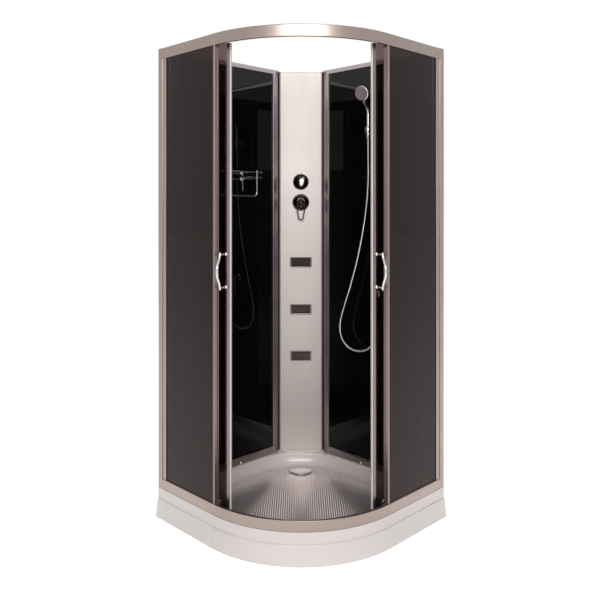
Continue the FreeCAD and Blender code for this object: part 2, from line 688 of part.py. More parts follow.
def make_column():
    z0 = RIM_Z + COLUMN_BASE_H
    z1 = HEIGHT - COLUMN_CAP_H
    half = COLUMN_HALF_W
    inner = half - COLUMN_SHEET
    face = COLUMN_FACE_T
    wire = outline([(-half, COLUMN_BACK_T), (-half, face, COLUMN_EDGE_R), (half, face, COLUMN_EDGE_R),
                    (half, COLUMN_BACK_T), (inner, COLUMN_BACK_T),
                    (inner, face - COLUMN_SHEET, COLUMN_EDGE_R - COLUMN_SHEET),
                    (-inner, face - COLUMN_SHEET, COLUMN_EDGE_R - COLUMN_SHEET), (-inner, COLUMN_BACK_T)],
                   lambda x, t: at(x, t, z0))
    cover = Part.Face(wire).extrude(V(0, 0, z1 - z0))
    behind = face - 2 * COLUMN_SHEET
    before = face + COLUMN_SHEET
    holes = [rod(at(0, behind, MIXER_Z), at(0, before, MIXER_Z), SPINDLE_R + SPINDLE_HOLE_GAP),
             rod(at(0, behind, DIVERTER_Z), at(0, before, DIVERTER_Z), KNOB_SPINDLE_R + SPINDLE_HOLE_GAP)]
    hole_w = JET_MOUTH_HALF_W + JET_WALL + RUNNING_GAP
    hole_h = JET_MOUTH_HALF_H + JET_WALL + RUNNING_GAP
    for z in JET_Z:
        holes.append(box(-hole_w, hole_w, CORNER_Y - before, CORNER_Y - behind, z - hole_h, z + hole_h))
    # A full-height strip joins each side of the cover to the wall stile beside it.
    low_x, low_y = wall_spot(-half, COLUMN_BACK_T + JOINT_BACK)
    high_x, high_y = wall_spot(-half, face - JOINT_FRONT)
    strip = prism([(COLUMN_STILE_AT, low_y), (COLUMN_STILE_AT, WALL_DEPTH), (high_x, high_y),
                   (low_x, low_y)], z0, z1)
    feed = feed_pipe(FEED_BRANCH_R + FEED_HOLE_GAP)
    left = to_cabin(strip)
    keep("column_joint_strips", left, to_right(left).cut(feed))
    keep("column_cover", cover.cut(holes + [feed]))
    keep("column_end_caps", column_plate(RIM_Z, z0), column_plate(z1, HEIGHT))


def make_valve():
    def block(half, z0, z1):
        return box(-half, half, CORNER_Y - VALVE_FRONT_T, CORNER_Y - VALVE_BACK_T, z0, z1)

    def forward(radius, end_t, z):
        return rod(at(0, VALVE_FRONT_T, z), at(0, end_t, z), radius)

    inner = COLUMN_FACE_T - COLUMN_SHEET
    spindle_t = inner + SPINDLE_L
    knob_spindle_t = inner + KNOB_SPINDLE_L
    solids = [block(VALVE_HALF_W, VALVE_BOTTOM_Z, VALVE_SHOULDER_Z),
              block(VALVE_UPPER_HALF_W, VALVE_SHOULDER_Z, VALVE_TOP_Z),
              forward(VALVE_BOSS_R, inner, MIXER_Z),
              forward(DIVERTER_BOSS_R, inner, DIVERTER_Z),
              forward(SPINDLE_R, spindle_t, MIXER_Z),
              forward(KNOB_SPINDLE_R, knob_spindle_t, DIVERTER_Z),
              rod(at(-STUB_END_X, PORT_T, DIVERTER_Z), at(STUB_END_X, PORT_T, DIVERTER_Z), STUB_R)]
    bores = []
    for x in (-INLET_X, INLET_X):
        mouth = at(x, VALVE_BACK_T - INLET_L, MIXER_Z)
        solids.append(rod(at(x, VALVE_BACK_T, MIXER_Z), mouth, INLET_R))
        bores.append(rod(mouth, at(x, INLET_END_T, MIXER_Z), INLET_BORE_R))
    keep("valve_body", fuse(solids).cut(bores))

    forward_axis = V(0, -1, 0)
    hub_back = COLUMN_FACE_T + RUNNING_GAP
    plate = disc_stack(ROSE_RINGS, at(0, COLUMN_FACE_T, MIXER_Z), forward_axis)
    keep("mixer_rose", plate.cut(forward(HUB_R + RUNNING_GAP, COLUMN_FACE_T + HUB_L, MIXER_Z)))

    rings = [(0, HUB_R)]
    for start in HUB_GROOVES:
        middle = start + HUB_GROOVE_W / 2
        rings += [(start, HUB_R), (middle, HUB_R - HUB_GROOVE_DEEP), (start + HUB_GROOVE_W, HUB_R)]
    rings.append((HUB_L - HUB_EDGE, HUB_R))
    rings += [(HUB_L - HUB_EDGE / 3, HUB_R - HUB_EDGE / 2), (HUB_L, HUB_R - HUB_EDGE)]
    hub = disc_stack(rings, at(0, hub_back, MIXER_Z), forward_axis)
    pin_reach = LEVER_HALF_W + LEVER_PIN_PROUD
    pin_ends = at(-pin_reach, LEVER_PIVOT_T, MIXER_Z), at(pin_reach, LEVER_PIVOT_T, MIXER_Z)
    bore = forward(SPINDLE_R + BEARING_GAP, spindle_t + RUNNING_GAP, MIXER_Z)
    keep("mixer_hub", fuse([hub, rod(*pin_ends, LEVER_PIN_R)]).cut(bore))

    def lever_loop(inset):
        """Flat outline of the lever seen from the front: two arms that close into a round tip."""
        top = LEVER_PIN_R + LEVER_BAR
        half = LEVER_HALF_W - inset
        tip_half = LEVER_TIP_HALF_W - inset
        tip = inset - LEVER_DROP
        tip_r = 1.1 * tip_half
        corners = [(-half, top), (half, top), (half, -LEVER_SHOULDER, LEVER_BEND_R), (tip_half, tip, tip_r),
                   (-tip_half, tip, tip_r), (-half, -LEVER_SHOULDER, LEVER_BEND_R)]
        front = LEVER_PIVOT_T + LEVER_THICK / 2
        wire = outline(corners, lambda x, z: at(x, front, MIXER_Z + z))
        return Part.Face(wire).extrude(V(0, LEVER_THICK, 0))

    eye_hole = rod(*pin_ends, LEVER_PIN_R + BEARING_GAP)
    keep("mixer_lever", lever_loop(0).cut([lever_loop(LEVER_BAR), eye_hole]))

    base = COLUMN_FACE_T + KNOB_LIFT
    rings = [(0, KNOB_R - 1.5 * KNOB_EDGE), (KNOB_EDGE, KNOB_R - KNOB_EDGE / 2)]
    for a in range(12, 85, 12):
        rise = (KNOB_H - KNOB_EDGE) * math.sin(math.radians(a))
        rings.append((KNOB_EDGE + rise, KNOB_R * math.cos(math.radians(a))))
    knob = disc_stack(rings, at(0, base, DIVERTER_Z), forward_axis)
    bore = forward(KNOB_SPINDLE_R + BEARING_GAP, knob_spindle_t + RUNNING_GAP, DIVERTER_Z)
    keep("diverter_knob", knob.cut(bore))


def make_jets():
    face_y = CORNER_Y - COLUMN_FACE_T
    bezels = []
    for name, z in zip(("upper", "middle", "lower"), JET_Z):
        edge = outline([(-JET_HALF_W, -JET_HALF_H, JET_CORNER_R), (JET_HALF_W, -JET_HALF_H, JET_CORNER_R),
                        (JET_HALF_W, JET_HALF_H, JET_CORNER_R), (-JET_HALF_W, JET_HALF_H, JET_CORNER_R)],
                       lambda x, h: V(x, face_y - JET_FLANGE_T, z + h))
        flange = Part.Face(edge).extrude(V(0, JET_FLANGE_T, 0))
        outer_w = JET_MOUTH_HALF_W + JET_WALL
        outer_h = JET_MOUTH_HALF_H + JET_WALL
        back_y = CORNER_Y - JET_BACK_T
        sleeve = box(-outer_w, outer_w, face_y, back_y, z - outer_h, z + outer_h)
        cavity = box(-JET_MOUTH_HALF_W, JET_MOUTH_HALF_W, face_y - JET_FLANGE_T, back_y - JET_WALL,
                     z - JET_MOUTH_HALF_H, z + JET_MOUTH_HALF_H)
        axis_y = CORNER_Y - JET_AXIS_T
        pin_hole = rod(V(-outer_w, axis_y, z), V(outer_w, axis_y, z), JET_PIN_R + BEARING_GAP)
        bezels.append(fuse([flange, sleeve]).cut([cavity, pin_hole]))

        half = JET_MOUTH_HALF_W - JET_SIDE_PLAY
        barrel = rod(V(-half, axis_y, z), V(half, axis_y, z), JET_BARREL_R)
        front = axis_y - JET_FLAT
        barrel = barrel.cut(box(-half, half, front - JET_BARREL_R, front, z - JET_BARREL_R, z + JET_BARREL_R))
        reach = JET_MOUTH_HALF_W + JET_PIN_L
        pin = rod(V(-reach, axis_y, z), V(reach, axis_y, z), JET_PIN_R)
        columns, rows = JET_HOLES
        holes = []
        for i in range(columns):
            for j in range(rows):
                x = (i - (columns - 1) / 2) * JET_HOLE_PITCH
                h = z + (j - (rows - 1) / 2) * JET_HOLE_PITCH
                holes.append(rod(V(x, front, h), V(x, front + JET_HOLE_DEPTH, h), JET_HOLE_R))
        keep("jet_nozzle_" + name, fuse([barrel, pin]).cut(holes))
    keep("jet_bezels", *bezels)


def feed_pipe(radius):
    """Hand shower feed: down inside the column, then behind the wall glass to the elbow."""
    behind = WALL_GLASS_DEPTH / 2
    start = V(*wall_spot(STUB_END_X, PORT_T), DIVERTER_Z)
    corner = V(*wall_spot(FEED_X, PORT_T), DIVERTER_Z)
    points = [start, corner, V(corner.x, corner.y, ELBOW_Z), V(behind, corner.x + corner.y - behind, ELBOW_Z),
              V(behind, ELBOW_ALONG - ELBOW_BLOCK / 2, ELBOW_Z)]
    return to_cabin(tube(points, radius, FEED_BRANCH_R * 2.5)[0])


def make_feeds():
    # Jet feed: one riser from the valve with a branch into the side of each jet.
    points = [at(-STUB_END_X, PORT_T, DIVERTER_Z), at(-FEED_X, PORT_T, DIVERTER_Z),
              at(-FEED_X, PORT_T, JET_Z[-1] - RISER_END)]
    riser = tube(points, FEED_R, FEED_R * 1.6)[0]
    sleeve_x = JET_MOUTH_HALF_W + JET_WALL
    branches = [rod(at(-FEED_X, PORT_T, z), at(-sleeve_x, PORT_T, z), FEED_BRANCH_R) for z in JET_Z]
    keep("jet_feed_pipe", fuse([riser] + branches))

    keep("handset_feed_pipe", feed_pipe(FEED_BRANCH_R))


# ---------------------------------------------------------------- shelf on the left wall
def make_shelf():
    wall = SEAT_GLASS
    front = wall + SHELF_OUT
    upright_y = wall + SHELF_ROSE_T + RUNNING_GAP + UPRIGHT_R
    back = upright_y + UPRIGHT_R + RUNNING_GAP
    edge = front - WIRE_R
    glass = prism([(SHELF_START, back), (SHELF_END, back), (SHELF_END, edge, SHELF_CORNER_R),
                   (SHELF_START, edge, SHELF_CORNER_R)], SHELF_Z, SHELF_Z + SHELF_GLASS_T)
    keep("shelf_glass", to_cabin(glass))

    bar_z = SHELF_Z - BEARER_R
    post_top = GALLERY_Z + POST_RISE
    wires = []
    for along in SHELF_POSTS:
        wires.append(rod(V(along, wall, bar_z), V(along, front - WIRE_R / 2, bar_z), BEARER_R))
        wires.append(rod(V(along, wall, GALLERY_Z), V(along, front - 0.75 * WIRE_R, GALLERY_Z), GALLERY_R))
        wires.append(rod(V(along, upright_y, UPRIGHT_END_Z), V(along, upright_y, GALLERY_Z), UPRIGHT_R))
        wires.append(Part.makeSphere(FINIAL_R, V(along, front, post_top + FINIAL_R / 4)))
        for z in (bar_z, GALLERY_Z):
            wires.append(rose(SHELF_ROSE_R, SHELF_ROSE_T, SHELF_ROSE_T / 4, V(along, wall, z), V(0, 1, 0)))
    rail = (SHELF_START + GALLERY_INSET, SHELF_END - GALLERY_INSET)
    wires.append(rod(V(rail[0], front, GALLERY_Z), V(rail[1], front, GALLERY_Z), GALLERY_R))
    for along in rail:
        wires.append(Part.makeSphere(END_BALL_R, V(along, front, GALLERY_Z)))
    loop = [V(SHELF_POSTS[0], front, post_top), V(SHELF_POSTS[0], front, LOOP_Z),
            V(SHELF_POSTS[1], front, LOOP_Z), V(SHELF_POSTS[1], front, post_top)]
    wires.append(tube(loop, WIRE_R, WIRE_BEND)[0])
    keep("shelf_wire", to_cabin(fuse(wires)))


# ---------------------------------------------------------------- hand shower on the right wall
def make_hand_shower():
    wall = SEAT_GLASS
    axis_x = wall + HOLDER_OUT
    ring_low = HOLDER_Z - HOLDER_H / 2
    ring_top = HOLDER_Z + HOLDER_H / 2
    middle = V(axis_x, HOLDER_ALONG, 0)
    plate = rose(HOLDER_ROSE_R, ROSE_PLATE_T, ROSE_EDGE, V(wall, HOLDER_ALONG, HOLDER_Z), V(1, 0, 0))
    arm = rod(V(wall, HOLDER_ALONG, HOLDER_Z), V(axis_x, HOLDER_ALONG, HOLDER_Z), HOLDER_ARM_R)
    ring = rod(middle + UP * ring_low, middle + UP * ring_top, HOLDER_R)
    bore = rod(middle + UP * ring_low, middle + UP * ring_top, HANDLE_STUB_R + RUNNING_GAP)
    keep("shower_holder", to_cabin(fuse([plate, arm, ring]).cut(bore)))

    # The handset's own plane stands on the handle axis and is turned by HEAD_SWIVEL.
    swivel = math.radians(HEAD_SWIVEL)
    tilt = math.radians(HEAD_TILT)
    lean = V(math.cos(swivel), math.sin(swivel), 0)

    def spot(out, z):
        return middle + lean * out + UP * z

    facing = lean * math.cos(tilt) - UP * math.sin(tilt)
    head = spot(HEAD_REACH, HOLDER_Z + HEAD_RISE)
    collar_z = ring_top + RUNNING_GAP
    stub_z = ring_low - HANDLE_STUB_BELOW
    head_back = head - facing * (HEAD_T / 2)
    head_front = head + facing * (HEAD_T / 2)
    face_seat = head_front - facing * FACE_T
    shell = disc_stack(HEAD_RINGS, head_back, facing)
    neck_in = spot(HEAD_REACH - NECK_BACK, HOLDER_Z + HEAD_RISE - NECK_UNDER)
    neck_route = [spot(0, collar_z), spot(0, HOLDER_Z + NECK_RISE), neck_in, head_back + facing * NECK_SINK]
    neck = tube(neck_route, HANDLE_R, NECK_BEND)[0]
    collar = rod(spot(0, collar_z), spot(0, collar_z + COLLAR_H), COLLAR_R)
    stub = rod(spot(0, stub_z), spot(0, collar_z), HANDLE_STUB_R)
    recess = rod(face_seat, head_front + facing, FACE_R + FACE_GAP)
    keep("handset_body", to_cabin(fuse([shell, neck, collar, stub]).cut(recess)))
    keep("handset_face", to_cabin(rod(face_seat, head_front, FACE_R)))
    keep("hose_nut_upper", to_cabin(disc_stack(UPPER_NUT_RINGS, spot(0, stub_z - NUT_L), UP)))

    elbow_x = wall + ELBOW_OUT
    seat = V(wall, ELBOW_ALONG, ELBOW_Z)
    turn = V(elbow_x, ELBOW_ALONG, ELBOW_Z)
    half = ELBOW_BLOCK / 2
    parts = [rose(HOLDER_ROSE_R, ROSE_PLATE_T, ROSE_EDGE, seat, V(1, 0, 0)),
             rod(seat, turn, ELBOW_R), Part.makeSphere(ELBOW_BALL_R, turn),
             rod(turn, turn - UP * ELBOW_DROP, ELBOW_R),
             rod(V(ELBOW_BLOCK_T / 2, ELBOW_ALONG, ELBOW_Z), seat, half),
             box(ELBOW_BLOCK_BACK, ELBOW_BLOCK_T, ELBOW_ALONG - half, ELBOW_ALONG + half,
                 ELBOW_Z - half, ELBOW_Z + half)]
    keep("wall_elbow", to_cabin(fuse(parts)))
    nut_top = turn - UP * ELBOW_DROP
    keep("hose_nut_lower", to_cabin(disc_stack(LOWER_NUT_RINGS, nut_top - UP * NUT_L, UP)))

    # The hose hangs from the handset in one long loop and comes up into the elbow.
    top = spot(0, stub_z - NUT_L)
    end = nut_top - UP * NUT_L
    route = [top, V(50, 500, 1590), V(49, 501, 1470), V(52, 489, 1330), V(54, 462, 1190),
             V(57, 428, 1060), V(61, 386, 935), V(65, 349, 835), V(68, 333, 765), V(69, 352, 703),
             V(70, 403, 668), V(69, 468, 664), V(66, 524, 688), V(60, 550, 735), V(52, 550, 790),
             V(elbow_x, ELBOW_ALONG, 848), end]
    hose, length, radii = tube(route, HOSE_R)
    print("hose length %.0f, least radius %.0f" % (length, min(radii)))
    keep("hose", to_cabin(hose))


# ---------------------------------------------------------------- doors
def door_angle(run):
    """Degrees of arc for a run of millimetres at the door glass."""
    return math.degrees(run / DOOR_R)


def door_strip(r0, r1, a0, a1, z0, z1):
    """Curved piece of a closed door, between two radii and two angles about the front's centre."""
    face = Part.Face(Part.makePolygon([V(r0, 0, z0), V(r1, 0, z0), V(r1, 0, z1), V(r0, 0, z1), V(r0, 0, z0)]))
    strip = face.revolve(V(0, 0, 0), UP, a1 - a0)
    strip.rotate(V(0, 0, 0), UP, a0)
    strip.translate(V(CENTRE, CENTRE, 0))
    return strip


def at_angle(shape, angle):
    """Puts a piece drawn with x outwards from the front's centre at its angle on the closed door."""
    moved = shape.copy()
    moved.rotate(V(0, 0, 0), UP, angle)
    moved.translate(V(CENTRE, CENTRE, 0))
    return moved


def door_pivot():
    """The pole about which the closed door turns into its open place, and the angle of that turn.

    Closed, the door is concentric with the curve. Open, its chord lies along the straight front,
    both rollers stand on the straight track and its leading edge shows by DOOR_SHOWS.
    """
    half_span = math.radians(DOOR_SPAN / 2)
    open_x = SIDE - TRACK_DEPTH - TRACK_R * math.cos(math.radians(ROLLER_SPREAD))
    open_y = CENTRE + DOOR_SHOWS - DOOR_R * math.sin(half_span)
    dx, dy = CENTRE - open_x, CENTRE - open_y
    stretch = 1 / (2 * math.tan(half_span / 2))
    pole = V((CENTRE + open_x) / 2 - dy * stretch, (CENTRE + open_y) / 2 + dx * stretch, 0)
    return pole, DOOR_SPAN / 2


def handle_pieces(r0, r1):
    """Bow handle for glass between two radii: two posts through the glass carry an upright bow."""
    end_r = r1 + HANDLE_END_OUT
    bow_r = r1 + HANDLE_BOW_OUT
    foot = V(end_r, 0, HANDLE_Z - HANDLE_HALF_H)
    head = V(end_r, 0, HANDLE_Z + HANDLE_HALF_H)
    bow_path = Part.Wire(Part.Arc(foot, V(bow_r, 0, HANDLE_Z), head).toShape())
    tangent = bow_path.Edges[0].tangentAt(bow_path.Edges[0].FirstParameter)
    ring = Part.Wire(Part.makeCircle(HANDLE_BAR_R, foot, tangent))
    rise = bow_r - end_r
    arc_r = (HANDLE_HALF_H ** 2 + rise ** 2) / (2 * rise)
    post_r = bow_r - arc_r + math.sqrt(arc_r ** 2 - HANDLE_POST_HALF ** 2)
    pieces = [bow_path.makePipeShell([ring], True, False)]
    holes = []
    for side in (-1, 1):
        z = HANDLE_Z + side * HANDLE_POST_HALF
        pieces.append(rod(V(r0, 0, z), V(post_r, 0, z), HANDLE_POST_R))
        pieces.append(rod(V(r0 - HANDLE_NUT_T, 0, z), V(r0, 0, z), HANDLE_NUT_R))
        pieces.append(rod(V(r1, 0, z), V(r1 + HANDLE_NUT_T, 0, z), HANDLE_NUT_R))
        pieces.append(Part.makeSphere(HANDLE_BALL_R, V(end_r, 0, HANDLE_Z + side * HANDLE_HALF_H)))
        holes.append(rod(V(r0 - HANDLE_NUT_T, 0, z), V(r1 + HANDLE_NUT_T, 0, z), HANDLE_HOLE_R))
    return fuse(pieces), holes


def door_bracket_pieces(r1, z0, z1):
    """Lower plate with the roller's axle, upper plate with its guide shoe, their screw caps, the roller."""
    plate_r0 = r1 + BRACKET_SEAT
    plate_r1 = plate_r0 + BRACKET_PLATE
    wheel_r0 = TRACK_R - ROLLER_W / 2
    wheel_r1 = TRACK_R + ROLLER_W / 2
    half = BRACKET_HALF_W
    low_end = z0 + BRACKET_GRIP
    high_end = z1 - BRACKET_GRIP
    shoe_z0 = z1 + GUIDE_RISE
    shoe_z1 = shoe_z0 + GUIDE_H
    low = box(plate_r0, plate_r1, -BRACKET_TAIL, BRACKET_LEAD, ROLLER_Z - BRACKET_UNDER, low_end)
    axle = rod(V(plate_r0, 0, ROLLER_Z), V(wheel_r1 + RUNNING_GAP, 0, ROLLER_Z), ROLLER_AXLE_R)
    high = box(plate_r0, plate_r1, -half, half, high_end, shoe_z1)
    shoe = box(plate_r1, wheel_r1, -half, half, shoe_z0, shoe_z1)
    plates = [fuse([low, axle]), fuse([high, shoe])]
    for y, z in (((BRACKET_LEAD - BRACKET_TAIL) / 2, low_end - SCREW_IN), (0, high_end + SCREW_IN)):
        plates.append(disc_stack(SCREW_CAP_RINGS, V(plate_r1, y, z), V(1, 0, 0)))

    wheel = rod(V(wheel_r0, 0, ROLLER_Z), V(wheel_r1, 0, ROLLER_Z), ROLLER_R)
    holes = [rod(V(wheel_r0, 0, ROLLER_Z), V(wheel_r1, 0, ROLLER_Z), ROLLER_AXLE_R + BEARING_GAP)]
    for a in range(0, 360, 60):
        y = ROLLER_HOLES_AT * math.cos(math.radians(a))
        z = ROLLER_Z + ROLLER_HOLES_AT * math.sin(math.radians(a))
        holes.append(rod(V(wheel_r0, y, z), V(wheel_r1, y, z), ROLLER_HOLE_R))
    return plates, wheel.cut(holes)


def make_doors():
    z0 = BASE_Z + BOTTOM_LIP_H + DOOR_LOW_GAP
    z1 = HEIGHT - TOP_LIP_H - DOOR_TOP_GAP
    r0 = DOOR_R - DOOR_GLASS_T / 2
    r1 = DOOR_R + DOOR_GLASS_T / 2
    seal_end = DOOR_SPAN - door_angle(SEAL_W)
    neck_end = seal_end + door_angle(SEAL_NECK_W)
    meeting = DOOR_SPAN - door_angle(RUNNING_GAP)
    profile_end = seal_end - door_angle(PROFILE_W)
    glass_lead = profile_end + door_angle(GLASS_IN_PROFILE)
    trail = door_angle(TRAIL_SEAL_W)
    glass_trail = trail - door_angle(GLASS_IN_PROFILE)

    def strip(out, a0, a1):
        return door_strip(DOOR_R - out, DOOR_R + out, a0, a1, z0, z1)

    glass = door_strip(r0, r1, glass_trail, glass_lead, z0, z1)
    play = door_angle(PROFILE_FIT)
    groove = door_strip(r0 - PROFILE_FIT, r1 + PROFILE_FIT, glass_trail - play, glass_lead + play, z0, z1)
    profile = strip(PROFILE_OUT, profile_end, seal_end).cut(groove)
    seal = fuse([strip(SEAL_NECK_OUT, seal_end, neck_end), strip(SEAL_OUT, neck_end, meeting)])
    trailing = strip(PROFILE_OUT, 0, trail).cut(groove)

    handle_at = DOOR_SPAN - door_angle(HANDLE_INSET)
    handle, holes = handle_pieces(r0, r1)
    handle = at_angle(handle, handle_at)
    glass = glass.cut([at_angle(hole, handle_at) for hole in holes]).cut(handle)

    plates, wheel = door_bracket_pieces(r1, z0, z1)
    front_at = DOOR_SPAN / 2 + ROLLER_SPREAD
    rear_at = DOOR_SPAN / 2 - ROLLER_SPREAD
    brackets = [at_angle(plate, angle) for angle in (front_at, rear_at) for plate in plates]

    pole, turn = door_pivot()

    def opened(shape):
        moved = shape.copy()
        moved.rotate(pole, UP, -turn)
        return to_cabin(moved)

    groups = {"door_glass": [glass], "door_lead_profile": [profile], "door_magnetic_seal": [seal],
              "door_trail_seal": [trailing], "door_handle": [handle], "door_brackets": brackets,
              "front_roller": [at_angle(wheel, front_at)], "rear_roller": [at_angle(wheel, rear_at)]}
    for name, shapes in groups.items():
        left = [opened(shape) for shape in shapes]
        keep("left_" + name, *left)
        keep("right_" + name, *[to_right(shape) for shape in left])

    at_cabin = to_cabin(Part.Vertex(pole)).Point
    print("left door pivot", [round(c, 3) for c in at_cabin], "turn", turn)


def main():
    make_tray()
    make_support()
    make_waste()
    make_rails()
    make_fixed_front()
    make_wall_panels()
    make_column()
    make_valve()
    make_jets()
    make_feeds()
    make_shelf()
    make_hand_shower()
    make_doors()
    os.makedirs("parts", exist_ok=True)
    for name, shape in NODES.items():
        print(name, len(shape.Solids), shape.isValid(), round(shape.Volume / 1000, 1))
        shape.exportStep("parts/%s.step" % name)


main()
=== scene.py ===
import json
import math

import bmesh
import bpy
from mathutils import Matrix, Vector


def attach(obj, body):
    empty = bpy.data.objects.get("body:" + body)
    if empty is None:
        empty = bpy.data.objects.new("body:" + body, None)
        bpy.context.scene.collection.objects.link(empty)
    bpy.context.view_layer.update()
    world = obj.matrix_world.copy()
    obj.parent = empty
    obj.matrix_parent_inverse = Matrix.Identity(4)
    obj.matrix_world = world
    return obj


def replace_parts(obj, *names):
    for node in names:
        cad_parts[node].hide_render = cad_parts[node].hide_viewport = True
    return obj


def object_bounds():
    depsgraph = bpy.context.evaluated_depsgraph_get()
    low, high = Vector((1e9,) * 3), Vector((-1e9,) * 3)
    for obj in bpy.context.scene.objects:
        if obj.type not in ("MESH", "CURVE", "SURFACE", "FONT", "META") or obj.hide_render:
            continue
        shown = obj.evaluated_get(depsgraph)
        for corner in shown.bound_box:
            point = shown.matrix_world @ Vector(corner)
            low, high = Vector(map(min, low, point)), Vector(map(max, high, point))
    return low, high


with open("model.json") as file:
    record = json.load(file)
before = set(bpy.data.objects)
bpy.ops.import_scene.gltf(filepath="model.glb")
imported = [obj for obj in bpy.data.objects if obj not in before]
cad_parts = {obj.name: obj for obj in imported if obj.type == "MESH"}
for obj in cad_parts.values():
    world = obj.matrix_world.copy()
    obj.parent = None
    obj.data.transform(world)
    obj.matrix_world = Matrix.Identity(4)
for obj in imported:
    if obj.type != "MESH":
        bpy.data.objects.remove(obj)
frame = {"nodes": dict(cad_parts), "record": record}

# Quadrant shower cabin. Metres, cabin axes: x to the right, the doorway towards -y, z up from the floor.
# Wall axes: p runs along the left wall and q along the right wall, both from the room corner.
cad_low, cad_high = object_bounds()
ROOT2 = math.sqrt(2)
CORNER_Y = cad_high[1]
NODES = frame["nodes"]
CURVE_CENTRE = 0.391         # of the rounded front, on both wall axes
FRONT_SIDE = 0.885           # outer plane of the straight fronts


def on_walls(p, q, z):
    return Vector(((q - p) / ROOT2, CORNER_Y - (p + q) / ROOT2, z))


# ------------------------------------------------------------------ camera
def set_camera():
    lens = bpy.data.cameras.new("camera")
    lens.lens = 40.9
    lens.sensor_width = 36.0
    lens.shift_x = 0.0013
    lens.shift_y = -0.1545
    lens.clip_end = 100.0
    camera = bpy.data.objects.new("camera", lens)
    camera.location = (-0.0083, -3.0817, 1.350)
    camera.rotation_euler = (math.radians(90), 0, 0)
    bpy.context.scene.collection.objects.link(camera)
    bpy.context.scene.camera = camera


# ------------------------------------------------------------------ shader groups
def new_group(name, inputs, outputs):
    """Empty group with its inputs as (title, kind, value) and its outputs as (title, kind)."""
    group = bpy.data.node_groups.new(name, "ShaderNodeTree")
    for title, kind, value in inputs:
        group.interface.new_socket(name=title, in_out="INPUT", socket_type=kind).default_value = value
    for title, kind in outputs:
        group.interface.new_socket(name=title, in_out="OUTPUT", socket_type=kind)
    return group, group.nodes.new("NodeGroupInput"), group.nodes.new("NodeGroupOutput")


def noise_in(group, vector, scale, detail):
    noise = group.nodes.new("ShaderNodeTexNoise")
    noise.inputs["Detail"].default_value = detail
    if isinstance(scale, float):
        noise.inputs["Scale"].default_value = scale
    else:
        group.links.new(scale, noise.inputs["Scale"])
    group.links.new(vector, noise.inputs["Vector"])
    return noise.outputs["Fac"]


def spread_in(group, value, low, high, to_low, to_high):
    """Value between low and high, spread over to_low..to_high, which may be sockets or numbers."""
    spread = group.nodes.new("ShaderNodeMapRange")
    group.links.new(value, spread.inputs["Value"])
    for title, end in (("From Min", low), ("From Max", high), ("To Min", to_low), ("To Max", to_high)):
        if isinstance(end, (int, float)):
            spread.inputs[title].default_value = end
        else:
            group.links.new(end, spread.inputs[title])
    return spread.outputs["Result"]


def mixed_in(group, mask, first, last):
    """Colour between first and last by the mask; both may be sockets or plain colours."""
    mix = group.nodes.new("ShaderNodeMix")
    mix.data_type = "RGBA"
    group.links.new(mask, mix.inputs["Factor"])
    for title, end in (("A", first), ("B", last)):
        if isinstance(end, tuple):
            mix.inputs[title].default_value = (*end, 1)
        else:
            group.links.new(end, mix.inputs[title])
    return mix.outputs["Result"]


def drawn_lines_group():
    """Fine lines left by drawing or brushing, stretched along one direction."""
    group, inputs, outputs = new_group("drawn_lines", [("Stretch", "NodeSocketVector", (600, 600, 4))],
                                       [("Lines", "NodeSocketFloat")])
    place = group.nodes.new("ShaderNodeTexCoord").outputs["Object"]
    stretch = group.nodes.new("ShaderNodeVectorMath")
    stretch.operation = "MULTIPLY"
    group.links.new(place, stretch.inputs[0])
    group.links.new(inputs.outputs["Stretch"], stretch.inputs[1])
    group.links.new(noise_in(group, stretch.outputs["Vector"], 1.0, 4.0), outputs.inputs["Lines"])
    return group


def tone_drift_group():
    """Slow change between two tones of one colour over the surface."""
    group, inputs, outputs = new_group(
        "tone_drift",
        [("Light", "NodeSocketColor", (1, 1, 1, 1)), ("Dark", "NodeSocketColor", (0, 0, 0, 1)),
         ("Scale", "NodeSocketFloat", 3.0)],
        [("Color", "NodeSocketColor")])
    place = group.nodes.new("ShaderNodeTexCoord").outputs["Object"]
    mask = spread_in(group, noise_in(group, place, inputs.outputs["Scale"], 5.0), 0.35, 0.65, 0.0, 1.0)
    colour = mixed_in(group, mask, inputs.outputs["Light"], inputs.outputs["Dark"])
    group.links.new(colour, outputs.inputs["Color"])
    return group


def water_marks_group():
    """Roughness of a wiped surface: even gloss with duller dried marks and smears."""
    group, inputs, outputs = new_group(
        "water_marks",
        [("Clean", "NodeSocketFloat", 0.1), ("Marked", "NodeSocketFloat", 0.2),
         ("Scale", "NodeSocketFloat", 9.0)],
        [("Roughness", "NodeSocketFloat")])
    place = group.nodes.new("ShaderNodeTexCoord").outputs["Object"]
    marks = noise_in(group, place, inputs.outputs["Scale"], 7.0)
    rough = spread_in(group, marks, 0.45, 0.75, inputs.outputs["Clean"], inputs.outputs["Marked"])
    group.links.new(rough, outputs.inputs["Roughness"])
    return group


def skin_group():
    """Height of a slightly uneven moulded, cast or plated skin."""
    group, inputs, outputs = new_group("cast_skin", [("Scale", "NodeSocketFloat", 60.0)],
                                       [("Height", "NodeSocketFloat")])
    place = group.nodes.new("ShaderNodeTexCoord").outputs["Object"]
    group.links.new(noise_in(group, place, inputs.outputs["Scale"], 2.0), outputs.inputs["Height"])
    return group


DRAWN_LINES = drawn_lines_group()
TONE_DRIFT = tone_drift_group()
WATER_MARKS = water_marks_group()
CAST_SKIN = skin_group()


# ------------------------------------------------------------------ materials
def new_material(name, **plain):
    """Material with a Principled shader; plain gives the shader's own constant sockets."""
    material = bpy.data.materials.new(name)
    material.use_nodes = True
    tree = material.node_tree
    shader = tree.nodes["Principled BSDF"]
    for title, value in plain.items():
        shader.inputs[title.replace("_", " ")].default_value = value
    return material, tree, shader


def put_group(tree, group, **values):
    node = tree.nodes.new("ShaderNodeGroup")
    node.node_tree = group
    for title, value in values.items():
        node.inputs[title].default_value = value
    return node


